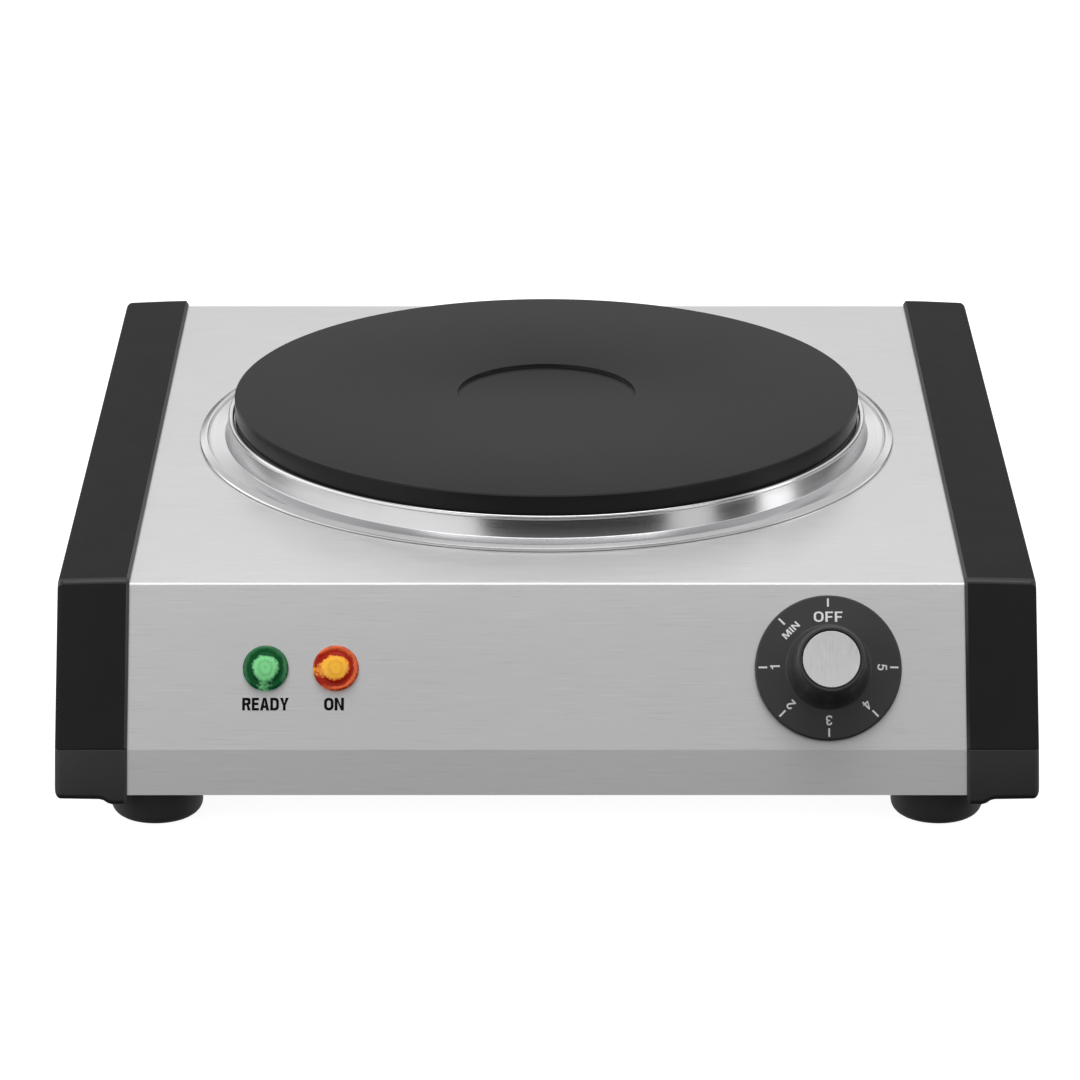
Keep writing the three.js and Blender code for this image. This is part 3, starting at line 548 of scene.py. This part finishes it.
# ---- Housing ----
def housing():
    inner_line = level_ends(offset_line(BODY_LINE, SHEET), LOW_Z)
    outer = rounded(BODY_LINE, BEND_RADII)
    inner = rounded(inner_line, [max(r - SHEET, 0.2 * MM) for r in BEND_RADII])
    bm = extrude_x(outer + inner[::-1], housing_low.x, housing_high.x)
    reach = FLANGE_HALF_LENGTH
    for y0, y1 in ((LOW_Y + SHEET / 2, LOW_Y + FLANGE_DEPTH), (REAR_Y - FLANGE_DEPTH, REAR_Y - SHEET / 2)):
        bm = combine(bm, box_mesh((-reach, y0, LOW_Z), (reach, y1, LOW_Z + SHEET)), "UNION")
    above_plate = Matrix.Translation((0, PLATE_Y, TOP_Z))
    bm = combine(bm, moved(tube_mesh(PLATE_HOLE_R, -CUT, CUT, 128), above_plate), "DIFFERENCE")
    face_holes = [(CONTROL_AT.x, SPINDLE_HOLE_R)]
    face_holes += [(middle_of(node).x, LAMP_HOLE_R) for node in ("ready_lens", "on_lens")]
    for side in ("left", "right"):
        face_holes.append((middle_of(f"thermostat_screw_{side}").x, THERMOSTAT_SCREW_HOLE_R))
    for x, radius in face_holes:
        bm = combine(bm, moved(tube_mesh(radius, -CUT, 3 * MM), on_face(x)), "DIFFERENCE")
    gland = middle_of("cord_gland")
    outlet = Matrix.Translation((gland.x, REAR_Y, gland.z)) @ Matrix.Rotation(math.pi / 2, 4, "X")
    bm = combine(bm, moved(tube_mesh(GLAND_HOLE_R, -CUT, CUT), outlet), "DIFFERENCE")
    for node in sorted(n for n in frame["nodes"] if n.startswith("base_screw_")):
        screw = middle_of(node)
        below = Matrix.Translation((screw.x, screw.y, LOW_Z))
        bm = combine(bm, moved(tube_mesh(BASE_SCREW_HOLE_R, -1 * MM, 2 * MM, 24), below), "DIFFERENCE")
    return piece("housing", bm, STEEL, replaces=["housing_shell"])


# ---- End panels ----
PANEL_INNER_X = panel_low.x
PANEL_OUTER_X = panel_high.x
PANEL_WIDTH = PANEL_OUTER_X - PANEL_INNER_X
PANEL_BENDS = (3.0 * MM, 2.9 * MM)  # radii of the rear and front bends of the top
PANEL_SIDE_WALL = 2.5 * MM
CREASE_GROOVE = 0.3 * MM  # a fine groove marks the crease between the two front facets


def takes_shaded_copy(normal, side):
    """The side wall, the flat top and the sloping facet take the darker, duller copy. All other faces take the
    lighter, glossier copy: partly a gloss difference, partly painted light that lifts the lower facet, the bends
    and the inner bevel.
    """
    across = side * normal.x
    if across > 0.95:
        return True
    lengthways = Vector((0, normal.y, normal.z))
    steepest = max(lengthways.z, lengthways.dot(OUTWARD))
    return across > -0.05 and steepest > 0.995 * lengthways.length


def grooved(before, corner, after):
    """The crease's corner as a small groove: in, bottom, out."""
    arriving = (corner - before).normalized()
    leaving = (after - corner).normalized()
    along = (arriving + leaving).normalized()
    inward = Vector((-along.y, along.x))
    return [
        corner - arriving * CREASE_GROOVE,
        corner + inward * CREASE_GROOVE,
        corner + leaving * CREASE_GROOVE,
    ]


def panel_outline(proud, bottom, shrink=0.0):
    """The panel's closed (y, z) outline at one distance across, standing proud of the body's line."""
    line = level_ends(offset_line(BODY_LINE, -proud), bottom)
    foot = 1.3 * MM
    rear, rear_top, front_top, crease, front = line
    corners = [
        Vector((rear.x - 6 * MM, bottom)), rear, rear_top, front_top,
        *grooved(front_top, crease, front), front, Vector((front.x + 6 * MM, bottom)),
    ]
    bends = [max(r - shrink, 0.3 * MM) for r in PANEL_BENDS]
    edge = 0.08 * MM
    return rounded(corners, [0, foot, *bends, edge, edge, edge, foot, 0])


def with_fixings(bm, side):
    """Adds the posts for the panel's screws, with their webs, and the stiffening ribs."""
    wall = PANEL_OUTER_X - PANEL_SIDE_WALL
    base_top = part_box("base_plate")[1].z
    post_z = (base_top + GAP, 34 * MM)
    rib_z = (base_top + 2 * GAP, TOP_Z + SHEET)

    def bar(x0, x1, y, half, heights):
        near, far = sorted((side * x0, side * x1))
        return box_mesh((near, y - half, heights[0]), (far, y + half, heights[1]))

    for y in (-40 * MM, 15 * MM, 70 * MM):
        bm = combine(bm, bar(PANEL_OUTER_X - 9 * MM, PANEL_OUTER_X - 1 * MM, y, 0.9 * MM, rib_z), "UNION")
    for end in ("front", "rear"):
        screw = middle_of(f"panel_screw_{end}_{'right' if side > 0 else 'left'}")
        at = Matrix.Translation((screw.x, screw.y, 0))
        bm = combine(bm, moved(tube_mesh(4 * MM, *post_z, 32), at), "UNION")
        bm = combine(bm, bar(abs(screw.x), wall + 0.5 * MM, screw.y, 1.2 * MM, post_z), "UNION")
        bm = combine(bm, moved(tube_mesh(1.7 * MM, 0, 28 * MM, 24), at), "DIFFERENCE")
        bm = combine(bm, moved(tube_mesh(4 * MM, 0, LOW_Z + 1 * MM, 32), at), "DIFFERENCE")
    return bm


def end_panel(side, node):
    low = panel_low.z
    step = 1.3 * MM  # the lower edge drops by this much next to the housing
    edge = 1.8 * MM  # rounding into the side wall
    # Millimetres across from the housing, millimetres proud of its line, and the share of the step up.
    outer = [(0.0, 0.75, 0.3), (0.8, 1.6, 0.0)]
    outer += [(4.2, 1.55, 0.0), (5.4, 1.52, 0.25), (6.6, 1.5, 0.8), (7.8, 1.47, 1.0)]
    flat_end = PANEL_WIDTH / MM - edge / MM
    for i in range(7):
        turn = math.radians(90 * i / 6)
        across = flat_end + edge / MM * math.sin(turn)
        fall = edge / MM * (1 - math.cos(turn))
        outer.append((across, 1.1 - fall, 1.0 + fall * 0.7))
    rings = []
    for across, proud, rise in reversed(outer):
        outline = panel_outline(proud * MM, low + rise * step)
        rings.append([(side * (PANEL_INNER_X + across * MM), p.x, p.y) for p in outline])
    inside = panel_outline(-GAP, LOW_Z - GAP, shrink=1.0 * MM)
    for across in (0.0, PANEL_WIDTH - PANEL_SIDE_WALL):
        rings.append([(side * (PANEL_INNER_X + across), p.x, p.y) for p in inside])
    bm = loft(rings)
    opening_x = sorted(side * x for x in (PANEL_INNER_X - 1 * MM, foot_high.x + FOOT_CLEARANCE))
    inside_line = offset_line(BODY_LINE, -GAP)
    below, above = (level_ends(inside_line, z) for z in (low - 1 * MM, LOW_Z + 1 * MM))
    bm = combine(bm, extrude_x([below[0], above[0], above[-1], below[-1]], *opening_x), "DIFFERENCE")
    bm = with_fixings(bm, side)
    name = node.replace("end_panel", "panel")
    obj = piece(name, bm, PANEL_SATIN_LIT_COPY, replaces=[node])
    # The lighter copy goes to the lower facet, the bends and the inner bevel: painted light that makes them read
    # lighter than the top and the sloping facet.
    obj.data.materials.append(PANEL_MATT_SHADED_COPY)
    for face in obj.data.polygons:
        face.material_index = 1 if takes_shaded_copy(face.normal, side) else 0
    return obj


# ---- Plate and ring ----
STEEP = 0.93  # a face whose normal rises by less than this has the edge's smoother coating, whose lighter tone is a painted sheen


def cooking_plate():
    top = COOK_Z / MM
    skirt = plate_low.z / MM
    rim = TOP_Z / MM + 6.6
    radius = PLATE_R / MM
    recess = 27.0
    floor_z = top - 0.95  # of the recess
    profile = round_profile([
        (0, skirt + 8, 0), (3.3, skirt + 8, 0.2), (3.3, skirt, 0.3), (11, skirt, 0.8),
        (12, top - 6, 1), (86, top - 6, 1), (86.2, skirt, 0.5), (90.6, skirt, 0.5),
        (91, rim, 0.6), (radius - 0.35, rim, 0.5), (radius, rim + 1.2, 0.4),
        (radius, top - 0.36, 0.1), (radius - 0.5, top, 0.1),
        (recess + 0.15, top, 0.12), (recess, floor_z, 0.15), (0, floor_z, 0),
    ])
    obj = piece("plate", lathe(profile, 192), COATED_IRON, replaces=["cooking_plate"],
                place=Matrix.Translation((0, PLATE_Y, 0)), crease=40)
    obj.data.materials.append(TURNED_RIM_SHEEN)
    for face in obj.data.polygons:
        face.material_index = 1 if abs(face.normal.z) < STEEP else 0
    return obj


def drip_ring():
    """A pressed ring: an outer bead, a band, a collar that leans in, and a rolled lip by the plate."""
    top = TOP_Z / MM
    outer = ring_high.x / MM
    points = [
        (outer - 1.5, top + 0.15, 0), (outer - 0.1, top + 0.15, 0.03), (outer, top + 0.6, 0.1),
        (outer - 0.3, top + 0.95, 0.15), (outer - 2.3, top + 1.75, 0.6), (outer - 2.75, top + 1.2, 0.25),
        (outer - 2.95, top + 0.35, 0.1), (outer - 3.25, top + 0.8, 0.15),
        (98.3, top + 1.4, 0.25), (97.15, top + 6.6, 0.4), (97.35, top + 7.0, 0.3),
        (97.1, top + 7.9, 0.6), (95.8, top + 7.7, 0.3), (95.6, top + 6.4, 0.2), (91.8, top + 6.4, 0.15),
        (91.8, top + 5.8, 0.15), (96.4, top + 5.8, 0.4), (97.4, top + 1.4, 0.4), (98.6, top + 0.5, 0.3),
        (outer - 3.0, top + 0.15, 0.1), (outer - 1.5, top + 0.15, 0),
    ]
    profile = round_profile(points)[1:]  # it closes on itself, so its first point isn't repeated
    return piece("ring", lathe(profile, 192, close=True), RING_STEEL,
                 replaces=["drip_ring"], place=Matrix.Translation((0, PLATE_Y, 0)), crease=60)


# ---- Knob ----
KNOB_HEIGHT = 17.9
SKIRT_R = 20.7
DIAL_EDGE = (20.3, 2.2)  # radius and height where the dial's cone ends
DIAL_FOOT = (12.6, 3.0)  # and where it meets the grip


def dial_height(radius):
    """Height of the dial's cone at a radius, in millimetres, out of the face."""
    share = (DIAL_EDGE[0] - radius) / (DIAL_EDGE[0] - DIAL_FOOT[0])
    return DIAL_EDGE[1] + share * (DIAL_FOOT[1] - DIAL_EDGE[1])


def knob():
    profile = round_profile([
        (0, 12.4, 0), (3.2, 12.4, 0.2), (3.2, 2.1, 0.2), (5.8, 2.1, 0.1), (11, 2, 0.3),
        (17.9, 1.7, 0.3), (18.6, 0.7, 0.2), (SKIRT_R - 0.05, 0.7, 0.15), (SKIRT_R, 1.8, 0.3),
        (DIAL_EDGE[0], DIAL_EDGE[1], 0.3), (11.9, dial_height(11.9), 0.9), (10.6, 5.6, 2.5),
        (9.65, KNOB_HEIGHT - 0.9, 1.2), (9.1, KNOB_HEIGHT - 0.05, 0.5), (8.35, KNOB_HEIGHT - 0.05, 0.2),
        (8.3, KNOB_HEIGHT - 1.1, 0.1), (0, KNOB_HEIGHT - 1.1, 0),
    ])
    return piece("knob", lathe(profile, 128), KNOB_BLACK, body="knob",
                 replaces=["control_knob"], place=on_face(CONTROL_AT.x), crease=40)


def knob_cap():
    low = KNOB_HEIGHT - 0.9
    profile = round_profile([
        (0, low, 0), (8.0, low, 0.1), (8.0, KNOB_HEIGHT - 0.2, 0.1),
        (7.9, KNOB_HEIGHT - 0.1, 0.1), (0, KNOB_HEIGHT - 0.1, 0),
    ])
    return piece("knob_disc", lathe(profile, 128), CAP_METAL, body="knob",
                 replaces=["knob_cap"], place=on_face(CONTROL_AT.x), crease=40)


def join(parts):
    """One bmesh out of several."""
    whole = bmesh.new()
    for part in parts:
        mesh = bpy.data.meshes.new("part")
        part.to_mesh(mesh)
        part.free()
        whole.from_mesh(mesh)
        bpy.data.meshes.remove(mesh)
    return whole


# ---- Lettering: plain bold capitals and figures, one unit high ----
# Each character's function takes the width of an upright. It gives the character's width and its
# loops of (x, y, corner radius): the outline first, then any hole.
ARM = 0.9  # a level stroke's thickness, as a share of an upright's
FIGURE_WIDTH = 0.6


def sharp(*points):
    """A loop with no rounded corners."""
    return [(x, y, 0) for x, y in points]


def letter_i(stem):
    return stem, [sharp((0, 0), (stem, 0), (stem, 1), (0, 1))]


def letter_e(stem):
    w = 0.58
    arm = stem * ARM
    flat = 1 - arm
    return w, [sharp(
        (0, 0), (w, 0), (w, arm), (stem, arm), (stem, 0.42), (w * 0.92, 0.42),
        (w * 0.92, 0.42 + arm), (stem, 0.42 + arm), (stem, flat), (w, flat), (w, 1), (0, 1),
    )]


def letter_f(stem):
    w = 0.58
    arm = stem * ARM
    flat = 1 - arm
    return w, [sharp(
        (0, 0), (stem, 0), (stem, 0.4), (w * 0.9, 0.4), (w * 0.9, 0.4 + arm),
        (stem, 0.4 + arm), (stem, flat), (w, flat), (w, 1), (0, 1),
    )]


def letter_n(stem):
    w = 0.72
    return w, [sharp(
        (0, 0), (stem, 0), (stem, 0.66), (w - stem, 0), (w, 0),
        (w, 1), (w - stem, 1), (w - stem, 0.34), (stem, 1), (0, 1),
    )]


def letter_m(stem):
    w = 0.88
    half = w / 2
    return w, [sharp(
        (0, 0), (stem, 0), (stem, 0.7), (half - stem * 0.45, 0), (half + stem * 0.45, 0),
        (w - stem, 0.7), (w - stem, 0), (w, 0), (w, 1), (w - stem * 1.4, 1),
        (half, 0.32), (stem * 1.4, 1), (0, 1),
    )]


def letter_a(stem):
    w = 0.76
    half = w / 2
    bar = 0.2
    leg = stem * 1.1
    lean = half - stem * 0.6
    outline = sharp(
        (0, 0), (leg, 0), (leg + lean * bar, bar), (w - leg - lean * bar, bar),
        (w - leg, 0), (w, 0), (half + stem * 0.6, 1), (half - stem * 0.6, 1),
    )
    inner = bar + stem * ARM * 0.9
    start = leg + lean * inner
    return w, [outline, sharp((start, inner), (w - start, inner), (half, 0.8))]


def letter_y(stem):
    w = 0.72
    half = w / 2
    return w, [sharp(
        (half - stem / 2, 0), (half + stem / 2, 0), (half + stem / 2, 0.4), (w, 1),
        (w - stem * 1.15, 1), (half, 0.58), (stem * 1.15, 1), (0, 1), (half - stem / 2, 0.4),
    )]


def letter_o(stem):
    w = 0.74
    arm = stem * ARM
    flat = 1 - arm
    turn = 0.34
    hole = turn - stem * 0.8
    return w, [
        [(0, 0, turn), (w, 0, turn), (w, 1, turn), (0, 1, turn)],
        [(stem, arm, hole), (w - stem, arm, hole), (w - stem, flat, hole), (stem, flat, hole)],
    ]


def letter_d(stem):
    w = 0.7
    arm = stem * ARM
    flat = 1 - arm
    return w, [
        [(0, 0, 0), (w, 0, 0.3), (w, 1, 0.3), (0, 1, 0)],
        [(stem, arm, 0), (w - stem, arm, 0.15), (w - stem, flat, 0.15), (stem, flat, 0)],
    ]


def letter_r(stem):
    w = 0.7
    arm = stem * ARM
    flat = 1 - arm
    outline = [
        (0, 0, 0), (stem, 0, 0), (stem, 0.4, 0), (0.36, 0.4, 0), (w - stem * 1.15, 0, 0), (w, 0, 0),
        (0.53, 0.44, 0), (w - 0.02, 0.52, 0.1), (w - 0.02, 1, 0.2), (0, 1, 0),
    ]
    hole = [
        (stem, 0.4 + arm, 0), (w - stem - 0.02, 0.4 + arm, 0.1),
        (w - stem - 0.02, flat, 0.1), (stem, flat, 0),
    ]
    return w, [outline, hole]


def figure_one(stem):
    w = 0.36
    return w, [sharp(
        (w - stem, 0), (w, 0), (w, 1), (w - stem * 0.8, 1), (w - stem * 1.2, 0.86), (0, 0.81),
        (0, 0.69), (w - stem, 0.69),
    )]


def figure_two(stem):
    w = FIGURE_WIDTH
    arm = stem * ARM
    middle_line = [
        (stem / 2, 0.66), (stem / 2, 1 - arm / 2), (w - stem / 2, 1 - arm / 2),
        (w - stem / 2, 0.6), (stem * 0.6, arm / 2), (w, arm / 2),
    ]
    line = rounded(middle_line, [0, 0.19, 0.19, 0.22, 0.02, 0], 5)
    left, right = (offset_line(line, side * stem / 2) for side in (1, -1))
    return w, [[(p.x, p.y, 0) for p in left + right[::-1]]]


def figure_three(stem):
    w = FIGURE_WIDTH
    arm = stem * ARM
    flat = 1 - arm
    return w, [[
        (0, 0.28, 0), (0, 0, 0.22), (w, 0, 0.24), (w, 0.52, 0.16), (w - 0.09, 0.54, 0.02),
        (w - 0.03, 0.6, 0.05), (w - 0.03, 1, 0.22), (0.02, 1, 0.2), (0.02, 0.7, 0), (stem, 0.7, 0),
        (stem, flat, 0.08), (w - stem - 0.02, flat, 0.09), (w - stem - 0.02, 0.6, 0.08),
        (0.2, 0.6, 0), (0.2, 0.6 - arm, 0), (w - stem, 0.6 - arm, 0.1), (w - stem, arm, 0.12),
        (stem, arm, 0.1), (stem, 0.28, 0),
    ]]


def figure_four(stem):
    w = FIGURE_WIDTH
    arm = stem * ARM
    right = w - 0.1
    bar = 0.22
    outline = sharp(
        (right - stem, 0), (right, 0), (right, bar), (w, bar), (w, bar + arm), (right, bar + arm),
        (right, 1), (right - stem, 1), (0, bar + arm), (0, bar), (right - stem, bar),
    )
    return w, [outline, sharp((stem * 0.8, bar + arm), (right - stem, bar + arm), (right - stem, 0.74))]


def figure_five(stem):
    w = FIGURE_WIDTH
    arm = stem * ARM
    flat = 1 - arm
    return w, [[
        (0, 0.27, 0), (0, 0, 0.22), (w, 0, 0.26), (w, 0.66, 0.25), (0.2, 0.66, 0.04),
        (0.23, flat, 0), (w - 0.05, flat, 0), (w - 0.05, 1, 0), (0.1, 1, 0), (0.02, 0.44, 0),
        (0.17, 0.44, 0.03), (0.24, 0.66 - arm, 0.06), (w - stem, 0.66 - arm, 0.13),
        (w - stem, arm, 0.13), (stem, arm, 0.1), (stem, 0.27, 0),
    ]]


CHARACTERS = {
    "A": letter_a, "D": letter_d, "E": letter_e, "F": letter_f, "I": letter_i,
    "M": letter_m, "N": letter_n, "O": letter_o, "R": letter_r, "Y": letter_y,
    "1": figure_one, "2": figure_two, "3": figure_three, "4": figure_four, "5": figure_five,
}


def lettering(words, height, width, stem=0.17, spacing=0.14):
    """A word as a thin solid in the XY plane, centred on its own origin and fitted to a width."""
    letters = []
    at = 0.0
    for letter in words:
        advance, loops = CHARACTERS[letter](stem)
        for loop in loops:
            letters.append((at, closed_loop(loop), loop is loops[0]))
        at += advance + spacing
    total = at - spacing
    groups = []
    for start, loop, is_outline in letters:
        shaped = [((start + p.x - total / 2) * width / total, (p.y - 0.5) * height) for p in loop]
        if is_outline:
            groups.append([shaped])
        else:
            groups[-1].append(shaped)
    return join([flat_solid(group, PRINT_DEPTH) for group in groups])


PRINT_DEPTH = 0.08 * MM
DIAL = [
    # words, angle, height, width, radius
    ("OFF", 0, 3.0, 8.1, 14.4),
    ("MIN", 45, 1.95, 5.6, 14.9),
    ("1", 90, 2.75, 1.1, 15.1),
    ("2", 135, 2.75, 1.75, 15.1),
    ("3", 180, 2.75, 1.75, 15.1),
    ("4", 225, 2.75, 1.8, 15.1),
    ("5", 270, 2.75, 1.75, 15.1),
]
TICK = (0.52, 2.4)  # width and length
TICK_RADIUS = 18.5


def dial_print():
    """The dial's words, numbers and tick marks, lying on its cone."""
    slope = math.atan2(DIAL_FOOT[1] - DIAL_EDGE[1], DIAL_EDGE[0] - DIAL_FOOT[0])
    half_tick = Vector((TICK[0] / 2 * MM, TICK[1] / 2 * MM, PRINT_DEPTH / 2))
    parts = []
    for words, angle, height, width, radius in DIAL:
        letters = lettering(words, height * MM, width * MM)
        for mark, at in ((letters, radius), (box_mesh(-half_tick, half_tick), TICK_RADIUS)):
            stand = Matrix.Translation((0, at * MM, dial_height(at) * MM)) @ Matrix.Rotation(-slope, 4, "X")
            parts.append(moved(mark, Matrix.Rotation(math.radians(angle), 4, "Z") @ stand))
    return piece("dial_marks", join(parts), WHITE_INK, body="knob", place=on_face(CONTROL_AT.x), crease=20)


# ---- Lamps and their words ----
WORD_DROP = 10.1 * MM  # from a lamp's middle down to its word's


def lamp_lens(name, node, material):
    profile = round_profile([
        (0, 1.2, 0), (2.6, 0.9, 0.3), (4.3, 0.1, 0.2), (4.3, -7, 0.2), (5.3, -7, 0.2), (5.3, 0.3, 0.1),
        (LENS_R, 0.3, 0.1), (LENS_R, 1.2, 0.3), (5.9, 1.75, 0.35), (5.1, 1.45, 0.3), (4.35, 1.5, 0.3),
        (3.9, 2.35, 0.4), (2.0, 2.85, 1.5), (0, 2.95, 0),
    ])
    return piece(name, lathe(profile, 96), material, replaces=[node],
                 place=on_face(middle_of(node).x), crease=50)


def lamp_word(words, node, width, shift=0.0):
    """A lamp's word, printed on the face just under it."""
    letters = lettering(words, 3.6 * MM, width * MM, stem=0.22, spacing=0.08)
    place = on_face(middle_of(node).x + shift * MM, -WORD_DROP)
    return piece(f"{words.lower()}_word", letters, BLACK_INK, place=place, crease=20)


# ---- Feet, and the CAD pieces that stay ----
def feet():
    radius = (foot_high.x - foot_low.x) / 2 / MM
    top = foot_high.z / MM
    for node in sorted(n for n in frame["nodes"] if n.startswith("foot_") and "screw" not in n):
        low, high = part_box(node)
        profile = round_profile([
            (4.3, 5, 0.2), (4.3, 0, 0.4), (radius - 0.3, 0, 3.4), (radius, 7, 2.0),
            (radius, top, 0.3), (2.4, top, 0.2), (2.4, 5, 0.2), (4.2, 5, 0),
        ])[1:]
        place = Matrix.Translation(((low.x + high.x) / 2, (low.y + high.y) / 2, 0))
        piece(node.replace("foot", "rubber_foot"), lathe(profile, 96, close=True), RUBBER_BLACK,
              replaces=[node], place=place, crease=50)


def inner_pieces():
    """Every CAD node that stays gets its own node material."""
    slots = {row["node"]: row["material_slot"] for row in frame["record"]["subparts"]}
    for name, obj in frame["nodes"].items():
        look = INNER_LOOKS.get(slots[name])
        if look is None:
            continue
        obj.data.materials.clear()
        obj.data.materials.append(look)


# ---- Stage, light and camera ----
def floor():
    half = 6.0
    corners = ((-half, -half), (half, -half), (half, half), (-half, half))
    bm = bmesh.new()
    bm.faces.new([bm.verts.new((x, y, 0)) for x, y in corners])
    mesh = bpy.data.meshes.new("floor")
    bm.to_mesh(mesh)
    bm.free()
    shader = Shader("pale_floor", Roughness=0.9, Specular_IOR_Level=0.1, Emission_Strength=0.92)
    shader.surface.inputs["Base Color"].default_value = (0.5, 0.5, 0.5, 1)
    shader.surface.inputs["Emission Color"].default_value = (1, 1, 1, 1)
    mesh.materials.append(shader.material)
    obj = bpy.data.objects.new("floor", mesh)
    bpy.context.scene.collection.objects.link(obj)
    obj.visible_glossy = False  # what stands on the floor reflects the lower sky instead
    obj.visible_diffuse = False


def softbox(name, azimuth, elevation, distance, size, radiance):
    """An even panel of light that faces the model. Azimuth 0 is in front of the knob, 90 to the right."""
    light = bpy.data.lights.new(name, "AREA")
    light.shape = "RECTANGLE"
    light.size, light.size_y = size
    light.energy = math.pi * size[0] * size[1] * radiance
    obj = bpy.data.objects.new(name, light)
    bpy.context.scene.collection.objects.link(obj)
    turn = Matrix.Rotation(math.radians(azimuth), 4, "Z")
    tilt = Matrix.Rotation(math.radians(90 - elevation), 4, "X")
    out = Matrix.Translation((0, 0, distance))
    obj.matrix_world = Matrix.Translation((0, 0, COOK_Z)) @ (turn @ tilt) @ out
    obj.visible_camera = False
    return obj


def sky_band(nodes, links, height, stops):
    """Brightness by height in the sky, from -1 straight down to 1 straight up."""
    scaled = nodes.new("ShaderNodeMapRange")
    scaled.inputs["From Min"].default_value = -1
    links.new(height, scaled.inputs["Value"])
    ramp = nodes.new("ShaderNodeValToRGB")
    elements = ramp.color_ramp.elements
    while len(elements) < len(stops):
        elements.new(0.5)
    for element, (degrees, value) in zip(elements, stops):
        element.position = (math.sin(math.radians(degrees)) + 1) / 2
        element.color = (value, value, value, 1)
    links.new(scaled.outputs["Result"], ramp.inputs["Fac"])
    return ramp.outputs["Color"]


# Brightness at each elevation in degrees, matched by tone to the photograph's reflections.
FRONT_SKY = [
    (-90, 0.02), (4, 0.03), (15, 0.08), (19, 0.78), (28, 0.78), (34, 0.5),
    (42, 0.5), (49, 0.3), (57, 0.32), (65, 0.75), (90, 0.8),
]
BACK_SKY = [
    (-90, 0.1), (-14, 0.6), (-2, 0.5), (1, 0.12), (9, 0.2),
    (14, 1.2), (18, 1.2), (24, 0.65), (60, 0.65), (90, 0.9),
]


def studio():
    """A pale room: dark low in front, bright behind, with softboxes overhead and to the sides."""
    world = bpy.data.worlds.new("studio")
    bpy.context.scene.world = world
    world.use_nodes = True
    nodes, links = world.node_tree.nodes, world.node_tree.links
    direction = nodes.new("ShaderNodeSeparateXYZ")
    links.new(nodes.new("ShaderNodeTexCoord").outputs["Generated"], direction.inputs["Vector"])
    blend = nodes.new("ShaderNodeMapRange")
    blend.interpolation_type = "SMOOTHSTEP"
    blend.inputs["From Min"].default_value = -0.5
    blend.inputs["From Max"].default_value = 0.4
    links.new(direction.outputs["Y"], blend.inputs["Value"])
    room = nodes.new("ShaderNodeMixRGB")
    links.new(blend.outputs["Result"], room.inputs["Fac"])
    links.new(sky_band(nodes, links, direction.outputs["Z"], FRONT_SKY), room.inputs["Color1"])
    links.new(sky_band(nodes, links, direction.outputs["Z"], BACK_SKY), room.inputs["Color2"])
    seen = nodes.new("ShaderNodeMixRGB")
    seen.inputs["Color2"].default_value = (1, 1, 1, 1)
    links.new(nodes.new("ShaderNodeLightPath").outputs["Is Camera Ray"], seen.inputs["Fac"])
    links.new(room.outputs["Color"], seen.inputs["Color1"])
    links.new(seen.outputs["Color"], nodes["Background"].inputs["Color"])
    softbox("top_light", 0, 88, 1.4, (1.3, 0.7), 2.2)
    softbox("left_light", -73, 14, 1.0, (2.45, 0.7), 0.9)
    softbox("right_light", 85, 10, 1.3, (0.36, 0.8), 1.6)
    softbox("right_fill", 50, 10, 1.3, (0.4, 0.8), 0.7)


FOCAL_LENGTH = 171.7  # millimetres, on a sensor 36 mm wide
LOOKING_DOWN = 20.05  # degrees
CAMERA_LEFT = 1.96 * MM  # of the plate's middle
CAMERA_IN_FRONT = 1.496
CAMERA_ABOVE = 0.511  # the steel top


def camera():
    """The photograph's viewpoint: a long lens, looking down by about 20 degrees."""
    data = bpy.data.cameras.new("camera")
    data.sensor_fit = "HORIZONTAL"
    data.sensor_width = 36.0
    data.lens = FOCAL_LENGTH
    data.clip_end = 50
    obj = bpy.data.objects.new("camera", data)
    bpy.context.scene.collection.objects.link(obj)
    obj.location = (-CAMERA_LEFT, PLATE_Y - CAMERA_IN_FRONT, TOP_Z + CAMERA_ABOVE)
    obj.rotation_euler = (math.radians(90 - LOOKING_DOWN), 0, 0)
    bpy.context.scene.camera = obj


camera()
studio()
floor()
bpy.context.scene.view_settings.view_transform = "Standard"

housing()
end_panel(1, "right_end_panel")
end_panel(-1, "left_end_panel")
cooking_plate()
drip_ring()
knob()
knob_cap()
dial_print()
lamp_lens("ready_lamp", "ready_lens", GREEN_LENS)
lamp_lens("on_lamp", "on_lens", AMBER_LENS)
lamp_word("READY", "ready_lens", 13.1)
lamp_word("ON", "on_lens", 5.6, shift=-0.5)
feet()
inner_pieces()
